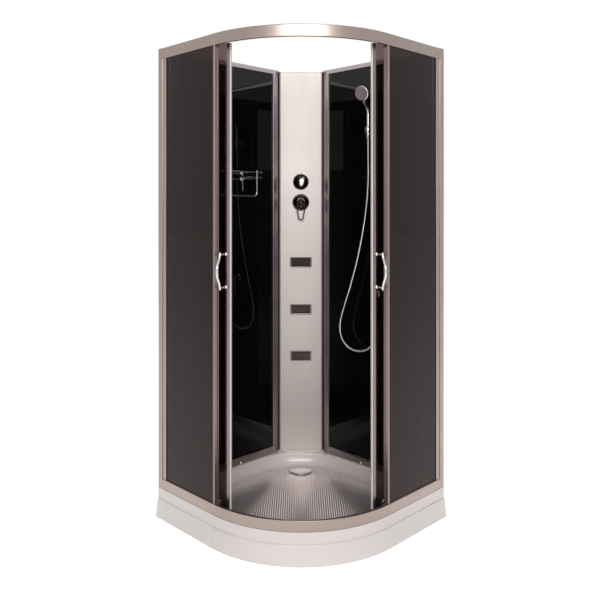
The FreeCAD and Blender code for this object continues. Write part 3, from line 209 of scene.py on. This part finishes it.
def colour_drift(tree, shader, light, dark, scale):
    node = put_group(tree, TONE_DRIFT, Light=(*light, 1), Dark=(*dark, 1), Scale=scale)
    tree.links.new(node.outputs["Color"], shader.inputs["Base Color"])


def marked_gloss(tree, shader, clean, marked, scale):
    node = put_group(tree, WATER_MARKS, Clean=clean, Marked=marked, Scale=scale)
    tree.links.new(node.outputs["Roughness"], shader.inputs["Roughness"])


def raise_surface(tree, shader, height, distance, strength):
    bump = tree.nodes.new("ShaderNodeBump")
    bump.inputs["Distance"].default_value = distance
    bump.inputs["Strength"].default_value = strength
    tree.links.new(height, bump.inputs["Height"])
    tree.links.new(bump.outputs["Normal"], shader.inputs["Normal"])


def cast_surface(tree, shader, scale, distance, strength=0.3):
    node = put_group(tree, CAST_SKIN, Scale=scale)
    raise_surface(tree, shader, node.outputs["Height"], distance, strength)


def brushed_surface(tree, shader, stretch, smooth, rough, distance):
    """Brushing lines in the roughness and in the relief."""
    lines = put_group(tree, DRAWN_LINES, Stretch=stretch).outputs["Lines"]
    tree.links.new(spread_in(tree, lines, 0.3, 0.7, smooth, rough), shader.inputs["Roughness"])
    raise_surface(tree, shader, lines, distance, 0.25)


UPRIGHT_LINES = (700, 700, 5)
LEVEL_LINES = (5, 5, 700)


def darkened(colour, share):
    return tuple(c * share for c in colour)


def white_acrylic(name, light, mirror, clean, marked):
    material, tree, shader = new_material(name, Metallic=mirror, Coat_Weight=0.35, Coat_Roughness=0.08)
    colour_drift(tree, shader, light, darkened(light, 0.98), 2.5)
    marked_gloss(tree, shader, clean, marked, 7.0)
    cast_surface(tree, shader, 25.0, 0.001, 0.12)
    return material


def champagne_aluminium(name, stretch, light=(0.35, 0.285, 0.25)):
    material, tree, shader = new_material(name, Metallic=1.0)
    colour_drift(tree, shader, light, darkened(light, 0.91), 4.0)
    brushed_surface(tree, shader, stretch, 0.27, 0.36, 0.0001)
    return material


def silver_panel():
    material, tree, shader = new_material("silver_panel", Metallic=0.35)
    colour_drift(tree, shader, (0.56, 0.50, 0.475), (0.53, 0.47, 0.445), 1.5)
    brushed_surface(tree, shader, UPRIGHT_LINES, 0.38, 0.48, 0.00008)
    return material


def tinted_glass(name, tint, marked, ior, gloss=(1, 1, 1)):
    material, tree, shader = new_material(name, Transmission_Weight=1.0, IOR=ior, Specular_Tint=(*gloss, 1))
    colour_drift(tree, shader, tint, darkened(tint, 0.97), 1.2)
    marked_gloss(tree, shader, 0.0, marked, 5.0)
    return material


def black_glass():
    material, tree, shader = new_material("black_glass", IOR=1.5, Specular_IOR_Level=0.25)
    colour_drift(tree, shader, (0.005, 0.0045, 0.005), (0.002, 0.002, 0.002), 2.0)
    marked_gloss(tree, shader, 0.015, 0.06, 4.0)
    cast_surface(tree, shader, 2.5, 0.0008, 0.06)
    return material


def plated(name, light, dark, clean, marked):
    material, tree, shader = new_material(name, Metallic=1.0)
    colour_drift(tree, shader, light, dark, 14.0)
    marked_gloss(tree, shader, clean, marked, 30.0)
    cast_surface(tree, shader, 45.0, 0.0004, 0.08)
    return material


def galvanised():
    material, tree, shader = new_material("galvanised_steel", Metallic=0.9)
    colour_drift(tree, shader, (0.56, 0.57, 0.58), (0.36, 0.38, 0.40), 60.0)
    marked_gloss(tree, shader, 0.34, 0.55, 40.0)
    cast_surface(tree, shader, 220.0, 0.0003)
    return material


def moulded(name, light, dark, clean, marked, skin_scale=420.0):
    """Moulded or extruded plastic with a fine skin."""
    material, tree, shader = new_material(name)
    colour_drift(tree, shader, light, dark, 8.0)
    marked_gloss(tree, shader, clean, marked, 20.0)
    cast_surface(tree, shader, skin_scale, 0.0002, 0.2)
    return material


ALUMINIUM_LEVEL = champagne_aluminium("champagne_aluminium_level", LEVEL_LINES)
CHROME = plated("chrome", (0.62, 0.59, 0.58), (0.55, 0.52, 0.51), 0.05, 0.12)
FINISHES = {
    "white_acrylic": white_acrylic("white_acrylic", (0.76, 0.70, 0.68), 0.0, 0.22, 0.29),
    "galvanised_steel": galvanised(),
    "grey_plastic": moulded("grey_plastic", (0.17, 0.125, 0.125), (0.14, 0.10, 0.10), 0.35, 0.5),
    "satin_aluminium": champagne_aluminium("champagne_aluminium_upright", UPRIGHT_LINES),
    "smoked_glass": tinted_glass("smoked_glass", (0.14, 0.098, 0.098), 0.01, 1.28, (1.0, 0.60, 0.58)),
    "black_glass": black_glass(),
    "clear_glass": tinted_glass("clear_glass", (0.86, 0.93, 0.91), 0.02, 1.5),
    "silver_panel": silver_panel(),
    "black_plastic": moulded("black_plastic", (0.02, 0.018, 0.018), (0.012, 0.011, 0.011), 0.3, 0.45),
    "chrome": CHROME,
    # painted dark reflection: plating darkened to look like chrome that mirrors a dark room
    "dark_chrome": plated("dark_chrome", (0.040, 0.031, 0.030), (0.030, 0.024, 0.023), 0.08, 0.15),
    "brass": plated("brass", (0.66, 0.48, 0.22), (0.52, 0.36, 0.15), 0.22, 0.4),
    "feed_pipe": moulded("feed_pipe", (0.74, 0.74, 0.71), (0.66, 0.66, 0.63), 0.35, 0.5),
    "spray_face": moulded("spray_face", (0.37, 0.29, 0.32), (0.32, 0.25, 0.28), 0.4, 0.5),
    "white_seal": moulded("white_seal", (0.76, 0.70, 0.685), (0.70, 0.645, 0.63), 0.3, 0.42),
    "nylon": moulded("grey_nylon", (0.52, 0.50, 0.485), (0.45, 0.43, 0.415), 0.25, 0.4),
}
WALL_FRAME_ALUMINIUM = champagne_aluminium("wall_frame_aluminium", UPRIGHT_LINES, (0.47, 0.41, 0.42))
FLOOR_ACRYLIC = white_acrylic("floor_acrylic", (0.78, 0.71, 0.70), 0.6, 0.10, 0.15)
SLIM_ALUMINIUM = champagne_aluminium("slim_aluminium", UPRIGHT_LINES, (0.25, 0.195, 0.195))
BRACKET_CHROME = plated("bracket_chrome", (0.88, 0.85, 0.84), (0.78, 0.74, 0.73), 0.25, 0.35)
# painted dark reflection: jet bezel plating darkened to look like chrome that mirrors a dark room
BEZEL_DARK_REFLECTION_CHROME = plated("bezel_dark_reflection_chrome", (0.17, 0.145, 0.135), (0.14, 0.12, 0.11), 0.10, 0.18)
BLACK_RUBBER = moulded("black_rubber", (0.018, 0.016, 0.016), (0.010, 0.009, 0.009), 0.5, 0.65)


# ------------------------------------------------------------------ mesh helpers
def mesh_piece(name, points, faces, material, body, crease=40):
    """Piece riding on a body; edges that turn by more than the crease, in degrees, stay sharp."""
    mesh = bpy.data.meshes.new(name)
    mesh.from_pydata([tuple(p) for p in points], [], faces)
    mesh.update()
    cleaner = bmesh.new()
    cleaner.from_mesh(mesh)
    bmesh.ops.recalc_face_normals(cleaner, faces=cleaner.faces)
    cleaner.to_mesh(mesh)
    cleaner.free()
    mesh.polygons.foreach_set("use_smooth", [True] * len(mesh.polygons))
    mesh.set_sharp_from_angle(angle=math.radians(crease))
    mesh.materials.append(material)
    piece = bpy.data.objects.new(name, mesh)
    bpy.context.scene.collection.objects.link(piece)
    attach(piece, body)
    return piece


def ring_faces(count, sides, first):
    """Faces that join a row of rings and close its two ends."""
    faces = []
    for i in range(count - 1):
        low, high = first + i * sides, first + (i + 1) * sides
        faces += [(low + k, low + (k + 1) % sides, high + (k + 1) % sides, high + k) for k in range(sides)]
    faces.append(tuple(first + k for k in range(sides)))
    faces.append(tuple(first + (count - 1) * sides + k for k in range(sides)))
    return faces


def turned(profile, base, axis, sides=48, first=0):
    """Turned skin from rings of (height, radius), or (height, radius, corners) for a socket."""
    turn = axis.to_track_quat("Z", "Y")
    rings = []
    for height, radius, *corners in profile:
        for k in range(sides):
            angle = 2 * math.pi * k / sides
            reach = radius
            if corners:
                wedge = 2 * math.pi / corners[0]
                reach = radius * math.cos(wedge / 2) / math.cos(angle % wedge - wedge / 2)
            rings.append(base + turn @ Vector((reach * math.cos(angle), reach * math.sin(angle), height)))
    return rings, ring_faces(len(profile), sides, first)


class Shell:
    """Gathers several closed skins into the points and faces of one piece."""

    def __init__(self):
        self.points, self.faces = [], []

    def add(self, make, *parts, **options):
        points, faces = make(*parts, first=len(self.points), **options)
        self.points += points
        self.faces += faces

    def piece(self, name, material, body, slot_name, crease=40):
        return mesh_piece(name, self.points, self.faces, material, body, crease)


def mirrored(points):
    return [Vector((-p.x, p.y, p.z)) for p in points]


def swept(points, radii, sides, first=0):
    """Closed round skin along a line of points, with a radius at each; returns its points and faces."""
    rings = []
    across = None
    for i, point in enumerate(points):
        ahead = (points[min(i + 1, len(points) - 1)] - points[max(i - 1, 0)]).normalized()
        if across is None:
            across = ahead.orthogonal().normalized()
        across = (across - ahead * across.dot(ahead)).normalized()
        over = ahead.cross(across)
        for k in range(sides):
            turn = 2 * math.pi * k / sides
            rings.append(point + radii[i] * (across * math.cos(turn) + over * math.sin(turn)))
    return rings, ring_faces(len(points), sides, first)


def smooth_line(route, order, resolution):
    """Evenly readable points along the NURBS spline that has the route as its control points."""
    curve = bpy.data.curves.new("route", "CURVE")
    curve.dimensions = "3D"
    curve.resolution_u = resolution
    spline = curve.splines.new("NURBS")
    spline.points.add(len(route) - 1)
    for spot, place in zip(spline.points, route):
        spot.co = (*place, 1)
    spline.order_u = order
    spline.use_endpoint_u = True
    holder = bpy.data.objects.new("route", curve)
    bpy.context.scene.collection.objects.link(holder)
    mesh = bpy.data.meshes.new_from_object(holder)
    line = [v.co.copy() for v in mesh.vertices]
    bpy.data.objects.remove(holder)
    bpy.data.curves.remove(curve)
    bpy.data.meshes.remove(mesh)
    return line


def even_steps(line, step):
    """Points at a steady step along a line, both ends kept."""
    lengths = [0.0]
    for a, b in zip(line, line[1:]):
        lengths.append(lengths[-1] + (b - a).length)
    count = max(2, round(lengths[-1] / step))
    spots = []
    i = 0
    for k in range(count + 1):
        want = lengths[-1] * k / count
        while i < len(line) - 2 and lengths[i + 1] < want:
            i += 1
        run = lengths[i + 1] - lengths[i]
        share = (want - lengths[i]) / run if run else 0.0
        spots.append(line[i].lerp(line[i + 1], share))
    return spots, lengths[-1]


# ------------------------------------------------------------------ hose
HOSE_R = 0.0055
HOSE_PITCH = 0.004           # one turn of the wound metal strip
HOSE_GROOVE = 0.0006
HOSE_ROUTE = [(50, 500, 1676), (50, 500, 1590), (49, 501, 1470), (52, 489, 1330), (54, 462, 1190),
              (57, 428, 1060), (61, 386, 935), (65, 349, 835), (68, 333, 765), (69, 352, 703), (70, 403, 668),
              (69, 468, 664), (66, 524, 688), (60, 550, 735), (52, 550, 790), (46, 528, 848), (46, 528, 910)]


def make_hose():
    route = [on_walls(p / 1000, q / 1000, z / 1000) for p, q, z in HOSE_ROUTE]
    line, length = even_steps(smooth_line(route, 3, 24), HOSE_PITCH / 4)
    profile = (0.0, HOSE_GROOVE, 0.3 * HOSE_GROOVE, 0.0)
    radii = [HOSE_R - profile[i % 4] for i in range(len(line))]
    points, faces = swept(line, radii, 14)
    hose = mesh_piece("shower_hose", points, faces, CHROME, "root")
    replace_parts(hose, "hose")


# ------------------------------------------------------------------ door handles
DOOR_R = 0.453               # middle of the door glass
DOOR_GLASS_T = 0.006
DOOR_HALF_SPAN = 22.5        # degrees
DOOR_SHOWS = 0.037
ROLLER_TRACK_DEPTH = 0.032
ROLLER_SPREAD = 14.0
HANDLE_Z = 1.096
HANDLE_INSET = 0.026
HANDLE_BOW = ((40, 76), (40, 66), (43, 54), (53, 34), (62, 18), (63, 0))     # off the glass, off the middle
HANDLE_HALF_H = 0.076
HANDLE_END_R = 0.0038
HANDLE_SWELL = 0.0013        # of the bow's radius, at its middle
HANDLE_COLLAR_AT = 0.022
HANDLE_COLLAR_RISE = 0.0009
HANDLE_COLLAR_WIDTH = 0.0016
POST_HALF = 0.066
POST_RADII = [0.0039, 0.0036]        # at the glass, at the bow
POST_FLANGE = ((0, 7.5), (1.4, 7.5), (2.6, 6.4), (3.4, 4.6), (4.4, 3.9))
POST_NUT = ((0, 7.5), (2.6, 7.5), (3.6, 6.4), (4.0, 4.6))


def on_left_door(r, degrees, z):
    """A place on the open left door, at a radius and an angle about the middle of its own curve."""
    track_r = FRONT_SIDE - CURVE_CENTRE - ROLLER_TRACK_DEPTH
    p0 = FRONT_SIDE - ROLLER_TRACK_DEPTH - track_r * math.cos(math.radians(ROLLER_SPREAD))
    q0 = CURVE_CENTRE + DOOR_SHOWS - DOOR_R * math.sin(math.radians(DOOR_HALF_SPAN))
    angle = math.radians(degrees)
    return on_walls(p0 + r * math.cos(angle), q0 + r * math.sin(angle), z)


def in_metres(profile):
    return [(height / 1000, radius / 1000) for height, radius in profile]


def make_handles():
    """Bow handle whose ends turn back towards the glass, on two posts through the door."""
    at = DOOR_HALF_SPAN - math.degrees(HANDLE_INSET / DOOR_R)
    outer = DOOR_R + DOOR_GLASS_T / 2
    inner = DOOR_R - DOOR_GLASS_T / 2
    half = [(outer + out / 1000, up / 1000) for out, up in HANDLE_BOW]
    route = half + [(r, -up) for r, up in reversed(half[:-1])]
    route = [on_left_door(r, at, HANDLE_Z + up) for r, up in route]
    line, length = even_steps(smooth_line(route, 4, 24), 0.001)
    radii = []
    for i, spot in enumerate(line):
        up = abs(spot.z - HANDLE_Z)
        radius = HANDLE_END_R + HANDLE_SWELL * (1 - (up / HANDLE_HALF_H) ** 2)
        radius += HANDLE_COLLAR_RISE * math.exp(-((up - HANDLE_COLLAR_AT) / HANDLE_COLLAR_WIDTH) ** 2)
        from_end = min(i, len(line) - 1 - i) * length / (len(line) - 1)
        if from_end < radius:
            radius = math.sqrt(max(radius ** 2 - (radius - from_end) ** 2, 1e-8))
        radii.append(radius)
    outwards = (on_left_door(outer, at, HANDLE_Z) - on_left_door(inner, at, HANDLE_Z)).normalized()
    shell = Shell()
    shell.add(swept, line, radii, 20)
    for side in (-1, 1):
        z = HANDLE_Z + side * POST_HALF
        bow_at = min(line, key=lambda spot: abs(spot.z - z))
        seat = on_left_door(outer, at, z)
        shell.add(swept, [seat, bow_at], POST_RADII, 20)
        shell.add(turned, in_metres(POST_FLANGE), seat, outwards)
        shell.add(turned, in_metres(POST_NUT), on_left_door(inner, at, z), -outwards, sides=36)
    left = shell.points
    for side in ("left", "right"):
        shell.points = left if side == "left" else mirrored(left)
        handle = shell.piece(side + "_bow_handle", CHROME, side + "_door", "chrome")
        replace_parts(handle, side + "_door_handle")


# ------------------------------------------------------------------ hand shower
HOLDER_OFF = (50, 500)       # axis of the hand shower on the wall axes
HOLDER_Z = 1714
HEAD_LEAN = 13.4             # of its plane from the wall's normal, in degrees
HEAD_TILT = 15.0
HEAD_REACH = 64.8
HEAD_RISE = 166
HEAD_HALF_T = 10
HEAD_SHELL = ((-3.4, 3), (-3.2, 9), (-2.4, 16), (-0.8, 23), (1.6, 28), (4.4, 31.6), (8, 34), (13, 35),
              (17, 35), (19.2, 34.4), (20, 33), (20, 31.2), (17.5, 31.2))
HANDLE_ROUTE = ((0, -20), (0, 12), (0, 60), (0, 92), (14, 112), (44, 132))
HANDLE_RADII = ((0, 10.0), (0.17, 10.0), (0.19, 8.0), (0.5, 8.2), (0.7, 8.8), (0.85, 10.5), (1.0, 13.5))
HANDLE_INTO_HEAD = 0.004
COLLAR_UP = 12.3
HANDLE_COLLAR = ((0, 11), (0.6, 12.6), (2, 13), (4.4, 12.8), (5.6, 11.6), (6, 9))
NUB_RINGS = ((0, 1), (8.5, 6), (16.5, 12), (24.5, 18))
NUB = ((0, 1.5), (0.7, 1.35), (1.1, 0.9), (1.2, 0.35))


def along_table(table, share):
    """Value at a share of the way, read between the rows of a table."""
    for (low, first), (high, last) in zip(table, table[1:]):
        if share <= high:
            return first + (last - first) * (share - low) / (high - low)
    return table[-1][1]


def make_hand_shower():
    lean = math.radians(HEAD_LEAN)
    tilt = math.radians(HEAD_TILT)

    def spot(out, up):
        p = HOLDER_OFF[0] + out * math.cos(lean)
        q = HOLDER_OFF[1] + out * math.sin(lean)
        return on_walls(p / 1000, q / 1000, (HOLDER_Z + up) / 1000)

    upright = Vector((0, 0, 1))
    level = (spot(1, 0) - spot(0, 0)).normalized()
    facing = level * math.cos(tilt) - upright * math.sin(tilt)
    middle = spot(HEAD_REACH, HEAD_RISE)
    head_back = middle - facing * HEAD_HALF_T / 1000
    route = [spot(out, up) for out, up in HANDLE_ROUTE] + [head_back + facing * HANDLE_INTO_HEAD]
    line, length = even_steps(smooth_line(route, 3, 24), 0.002)
    radii = [along_table(HANDLE_RADII, i / (len(line) - 1)) / 1000 for i in range(len(line))]
    shell = Shell()
    shell.add(swept, line, radii, 32)
    shell.add(turned, in_metres(HEAD_SHELL), head_back, facing, sides=64)
    shell.add(turned, in_metres(HANDLE_COLLAR), spot(0, COLLAR_UP), upright)
    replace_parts(shell.piece("hand_shower_body", CHROME, "handset", "chrome"), "handset_body")

    front = middle + facing * HEAD_HALF_T / 1000
    across = facing.cross(upright).normalized()
    over = across.cross(facing)
    nubs = Shell()
    for radius, count in NUB_RINGS:
        for k in range(count):
            angle = 2 * math.pi * k / count
            seat = front + radius / 1000 * (across * math.cos(angle) + over * math.sin(angle))
            nubs.add(turned, in_metres(NUB), seat, facing, sides=12)
    nubs.piece("spray_nubs", FINISHES["spray_face"], "handset", "spray_face")


# ------------------------------------------------------------------ diverter knob
KNOB_Z = 1.479
KNOB_BASE_T = 0.161
KNOB_R = 0.040
KNOB_H = 0.028
KNOB_FOOT = ((0, 37.0), (0.8, 38.4), (2, 39.0))
KNOB_FOOT_H = 0.002
# painted dark reflection: plating darkened to look like chrome that mirrors a dark room
KNOB_PAINTED_DARK_REFLECTION = (0.040, 0.031, 0.030)
# colour of the painted highlight
KNOB_PAINTED_HIGHLIGHT = (0.90, 0.86, 0.83)
HIGHLIGHT_OVAL_AT = (0.0075, 0.001)    # painted highlight: an oval right of the knob's middle and up
HIGHLIGHT_OVAL_HALF = (0.0115, 0.0225)
HIGHLIGHT_OVAL_TILT = -20.0
HIGHLIGHT_OVAL_EDGE = (0.55, 1.15)     # where it begins and ends to fade, as shares of its half size


def painted_highlight_chrome():
    """Dark plating, a painted dark reflection, with a painted highlight: a brighter oval that runs softly
    into it.
    """
    material, tree, shader = new_material("painted_highlight_chrome", Metallic=1.0)
    place = tree.nodes.new("ShaderNodeTexCoord").outputs["Object"]
    lay = tree.nodes.new("ShaderNodeMapping")
    lay.vector_type = "TEXTURE"
    lay.inputs["Location"].default_value = (HIGHLIGHT_OVAL_AT[0], 0, KNOB_Z + HIGHLIGHT_OVAL_AT[1])
    lay.inputs["Rotation"].default_value = (0, math.radians(-HIGHLIGHT_OVAL_TILT), 0)
    lay.inputs["Scale"].default_value = (HIGHLIGHT_OVAL_HALF[0], 1000, HIGHLIGHT_OVAL_HALF[1])
    tree.links.new(place, lay.inputs["Vector"])
    off = tree.nodes.new("ShaderNodeVectorMath")
    off.operation = "LENGTH"
    tree.links.new(lay.outputs["Vector"], off.inputs[0])
    # painted highlight: the oval's mask mixes the bright colour into the dark plating
    mask = spread_in(tree, off.outputs["Value"], *HIGHLIGHT_OVAL_EDGE, 1.0, 0.0)
    tree.links.new(mixed_in(tree, mask, KNOB_PAINTED_DARK_REFLECTION, KNOB_PAINTED_HIGHLIGHT), shader.inputs["Base Color"])
    marked_gloss(tree, shader, 0.20, 0.26, 30.0)
    return material


def make_knob():
    """Domed knob with a rounded foot."""
    profile = in_metres(KNOB_FOOT)
    for degrees in range(4, 90, 3):
        angle = math.radians(degrees)
        height = KNOB_FOOT_H + (KNOB_H - KNOB_FOOT_H) * math.sin(angle)
        profile.append((height, KNOB_R * math.cos(angle)))
    base = Vector((0, CORNER_Y - KNOB_BASE_T, KNOB_Z))
    points, faces = turned(profile, base, Vector((0, -1, 0)), sides=72)
    # the knob's material carries a painted highlight and a painted dark reflection
    knob = mesh_piece("domed_knob", points, faces, painted_highlight_chrome(), "diverter_knob")
    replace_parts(knob, "diverter_knob")


# ------------------------------------------------------------------ frame screws, seals
SCREW_HEAD = ((0, 5.0), (1.2, 5.0), (1.9, 4.5), (2.4, 3.4), (2.5, 2.7))
SCREW_SOCKET = ((2.5, 2.2, 6), (0.9, 2.2, 6), (0.9, 0.4, 6))
SCREW_PLACES = (0.434, 0.700)
SCREW_Z = 0.1185
WALL_FRAME_DEPTH = 0.025
GASKET_R = 0.0018
GASKET_EDGES = (0.0545, 0.3828, 0.1685, 1.9955)      # jamb, trim, bottom rail, top rail
GASKET_DEPTHS = (0.0052, 0.0118)
BEAD_R = 0.0032
RIM_Z = 0.110
BEAD_LIFT = 0.001
COLUMN_FOOT = ((-0.1125, 0.118), (-0.1125, 0.162), (-0.1105, 0.164),
               (0.1105, 0.164), (0.1125, 0.162), (0.1125, 0.118))


def make_screws():
    shell = Shell()
    profile = in_metres(SCREW_HEAD) + [(h / 1000, r / 1000, corners) for h, r, corners in SCREW_SOCKET]
    for along in SCREW_PLACES:
        left = on_walls(along, WALL_FRAME_DEPTH, SCREW_Z)
        away = (on_walls(along, 1.0, SCREW_Z) - left).normalized()
        shell.add(turned, profile, left, away, sides=36)
        shell.add(turned, profile, mirrored([left])[0], mirrored([away])[0], sides=36)
    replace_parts(shell.piece("socket_screws", CHROME, "root", "chrome"), "frame_screws")


def make_gaskets():
    """Rubber beads that hold each fixed glass in its frame, outside and inside."""
    q0, q1, z0, z1 = GASKET_EDGES
    shell = Shell()
    for depth in GASKET_DEPTHS:
        p = FRONT_SIDE - depth
        corners = [(q0, z0), (q1, z0), (q1, z1), (q0, z1)]
        for i, (q, z) in enumerate(corners):
            end_q, end_z = corners[(i + 1) % 4]
            ends = [on_walls(p, q, z), on_walls(p, end_q, end_z)]
            shell.add(swept, ends, [GASKET_R, GASKET_R], 10)
    left = shell.points
    for side in ("left", "right"):
        shell.points = left if side == "left" else mirrored(left)
        shell.piece(side + "_glass_gasket", BLACK_RUBBER, "root", "black_plastic")


def make_foot_bead():
    """Sealing bead where the column stands on the tray."""
    line = [Vector((x, CORNER_Y - t, RIM_Z + BEAD_LIFT)) for x, t in COLUMN_FOOT]
    points, faces = swept(line, [BEAD_R] * len(line), 14)
    mesh_piece("column_foot_bead", points, faces, FINISHES["white_seal"], "root", crease=60)


# ------------------------------------------------------------------ basin floor
RIB_PITCH = 0.0095
RIB_HEIGHT = 0.0016
RIB_STEPS = 8                # points across one rib
RIB_MARGIN = 0.004
RIB_RUN_OUT = 0.008
RIB_LIFT = 0.0002
RIB_END = 0.1                # of the height, where a rib runs out
RIB_SHORTEST = 0.032
FLOOR_REACH = range(180, 1000, 2)    # millimetres from the room corner
FLOOR_STEP = 0.002
FLOOR_TOP = 0.055
FLOOR_SIDE = 0.791           # edges of the flat floor on the wall axes
FLOOR_BACK = 0.067
FLOOR_BACK_T = 0.2158
FLOOR_FRONT_R = 0.400
FLOOR_HALF_WIDTH = 0.51
FLOOR_CORNER_R = 0.238
DRAIN_T = 0.262
DRAIN_CLEAR_R = 0.064


def on_floor(x, t, inset):
    """True where (x, t) lies on the flat basin floor, an inset away from its edge and from the drain."""
    p, q = (t - x) / ROOT2, (t + x) / ROOT2
    low, high = FLOOR_BACK + inset, FLOOR_SIDE - inset
    if min(p, q) < low or max(p, q) > high or math.hypot(x, t - DRAIN_T) < DRAIN_CLEAR_R:
        return False
    reach = FLOOR_CORNER_R - inset
    off_side, off_back = high - max(p, q), min(p, q) - low
    if max(off_side, off_back) < reach and math.hypot(reach - off_side, reach - off_back) > reach:
        return False
    if min(p, q) > CURVE_CENTRE and math.hypot(p - CURVE_CENTRE, q - CURVE_CENTRE) > FLOOR_FRONT_R - inset:
        return False
    middle_t = FLOOR_BACK_T + FLOOR_CORNER_R
    beside = max(abs(x) - middle_t + ROOT2 * (FLOOR_BACK + FLOOR_CORNER_R), 0)
    behind = middle_t - t
    return behind < beside or math.hypot(beside, behind) < reach


def rib_spans(x):
    spans = []
    start = None
    for step in FLOOR_REACH:
        t = step / 1000
        inside = on_floor(x, t, RIB_MARGIN)
        if inside and start is None:
            start = t
        if not inside and start is not None:
            if t - start > RIB_SHORTEST:
                spans.append((start, t - FLOOR_STEP))
            start = None
    return spans


def make_floor_ribs():
    """Rippled non-slip skin of the basin floor, with its ribs running from the doorway to the column."""
    points, faces = [], []
    count = int(FLOOR_HALF_WIDTH / RIB_PITCH)
    across = [2 * k / RIB_STEPS - 1 for k in range(RIB_STEPS + 1)]
    for k in range(-count, count + 1):
        x = k * RIB_PITCH
        for t0, t1 in rib_spans(x):
            first = len(points)
            rings = ((t0, RIB_END), (t0 + RIB_RUN_OUT, 1.0), (t1 - RIB_RUN_OUT, 1.0), (t1, RIB_END))
            for t, size in rings:
                for side in across:
                    up = RIB_HEIGHT * size * (1 + math.cos(math.pi * side)) / 2
                    points.append((x + side * RIB_PITCH / 2, CORNER_Y - t, FLOOR_TOP + RIB_LIFT + up))
            for ring in range(len(rings) - 1):
                for j in range(RIB_STEPS):
                    a = first + ring * len(across) + j
                    faces.append((a, a + 1, a + 1 + len(across), a + len(across)))
    mesh_piece("basin_floor_ribs", points, faces, FLOOR_ACRYLIC, "root", crease=60)


# ------------------------------------------------------------------ stage
STAGE_REACH = 30.0
FLOOR_GLOW = 0.78            # only as far as the eye, a gloss or a glass shows it
FILL_LEVEL = 0.30


def seen_ray(tree):
    """1 for a ray from the camera, seen straight, in a gloss or through glass; 0 for the others."""
    path = tree.nodes.new("ShaderNodeLightPath")
    seen = path.outputs["Is Camera Ray"]
    for title in ("Is Glossy Ray", "Is Transmission Ray"):
        either = tree.nodes.new("ShaderNodeMath")
        either.operation = "MAXIMUM"
        tree.links.new(seen, either.inputs[0])
        tree.links.new(path.outputs[title], either.inputs[1])
        seen = either.outputs["Value"]
    return seen


def set_stage():
    mesh = bpy.data.meshes.new("studio_floor")
    corners = [(STAGE_REACH * x, STAGE_REACH * y, 0) for x, y in ((-1, -1), (1, -1), (1, 1), (-1, 1))]
    mesh.from_pydata(corners, [], [(0, 1, 2, 3)])
    floor = bpy.data.objects.new("studio_floor", mesh)
    bpy.context.scene.collection.objects.link(floor)
    material, tree, shader = new_material("studio_floor", Roughness=0.9, Specular_IOR_Level=0.1)
    shader.inputs["Base Color"].default_value = (0.9, 0.9, 0.9, 1)
    shader.inputs["Emission Color"].default_value = (1, 1, 1, 1)
    glow = spread_in(tree, seen_ray(tree), 0.0, 1.0, 0.0, FLOOR_GLOW)
    tree.links.new(glow, shader.inputs["Emission Strength"])
    mesh.materials.append(material)

    world = bpy.data.worlds.new("studio")
    world.use_nodes = True
    bpy.context.scene.world = world
    tree = world.node_tree
    back = tree.nodes["Background"]
    back.inputs["Color"].default_value = (1, 1, 1, 1)
    level = spread_in(tree, seen_ray(tree), 0.0, 1.0, FILL_LEVEL, 1.0)
    tree.links.new(level, back.inputs["Strength"])


def soft_lamp(name, place, target, width, height, power):
    lamp = bpy.data.lights.new(name, "AREA")
    lamp.shape = "RECTANGLE"
    lamp.size = width
    lamp.size_y = height
    lamp.energy = power
    holder = bpy.data.objects.new(name, lamp)
    holder.location = place
    holder.rotation_euler = (Vector(target) - Vector(place)).to_track_quat("-Z", "Y").to_euler()
    bpy.context.scene.collection.objects.link(holder)


def set_lamps():
    soft_lamp("front_lamp", (0.2, -5.2, 3.0), (0, 0, 1.0), 4.0, 2.4, 195)
    soft_lamp("back_lamp", (0, 4.6, 5.0), (0, 0.3, 1.0), 4.0, 2.0, 150)


# ------------------------------------------------------------------ dressing the nodes
def dress(node, material):
    node.data.materials.clear()
    node.data.materials.append(material)


SOFT_EDGES = {
    "mixer_lever": 0.0017, "jet_bezels": 0.0009, "mixer_rose": 0.0005, "mixer_hub": 0.0005,
    "bottom_rail": 0.0006, "top_rail": 0.0006, "column_end_caps": 0.001, "shelf_glass": 0.0006,
    "left_wall_frame": 0.0007, "right_wall_frame": 0.0007, "left_jamb": 0.0006, "right_jamb": 0.0006,
    "tray_apron": 0.002, "waste_trap": 0.0006, "valve_body": 0.001, "shower_holder": 0.0008,
    "left_door_brackets": 0.0004, "right_door_brackets": 0.0004, "support_frame": 0.001,
    "left_front_roller": 0.0006, "left_rear_roller": 0.0006, "right_front_roller": 0.0006,
    "right_rear_roller": 0.0006, "levelling_feet": 0.0005, "hose_nut_lower": 0.0006, "hose_nut_upper": 0.0006,
}


JOIN_DISTANCE = 0.00001
HARD_EDGE = 50               # degrees


def soften(node, width):
    """Rounds the hard edges of a node, as the real piece's are."""
    weld = node.modifiers.new("joined_points", "WELD")
    weld.merge_threshold = JOIN_DISTANCE
    round_over = node.modifiers.new("soft_edges", "BEVEL")
    round_over.width = width
    round_over.segments = 2
    round_over.limit_method = "ANGLE"
    round_over.angle_limit = math.radians(HARD_EDGE)


def dress_nodes():
    for name, width in SOFT_EDGES.items():
        soften(NODES[name], width)
    for part in frame["record"]["subparts"]:
        dress(NODES[part["node"]], FINISHES[part["material_slot"]])
    for name in ("bottom_rail", "top_rail"):
        dress(NODES[name], ALUMINIUM_LEVEL)
    for side in ("left", "right"):
        dress(NODES[side + "_wall_frame"], WALL_FRAME_ALUMINIUM)
        dress(NODES[side + "_fixed_trim"], SLIM_ALUMINIUM)
        dress(NODES[side + "_door_lead_profile"], SLIM_ALUMINIUM)
        dress(NODES[side + "_door_brackets"], BRACKET_CHROME)
    dress(NODES["jet_bezels"], BEZEL_DARK_REFLECTION_CHROME)


set_camera()
make_hose()
make_handles()
make_hand_shower()
make_knob()
make_screws()
make_gaskets()
make_foot_bead()
make_floor_ribs()
dress_nodes()
set_stage()
set_lamps()
bpy.context.scene.view_settings.view_transform = "Standard"
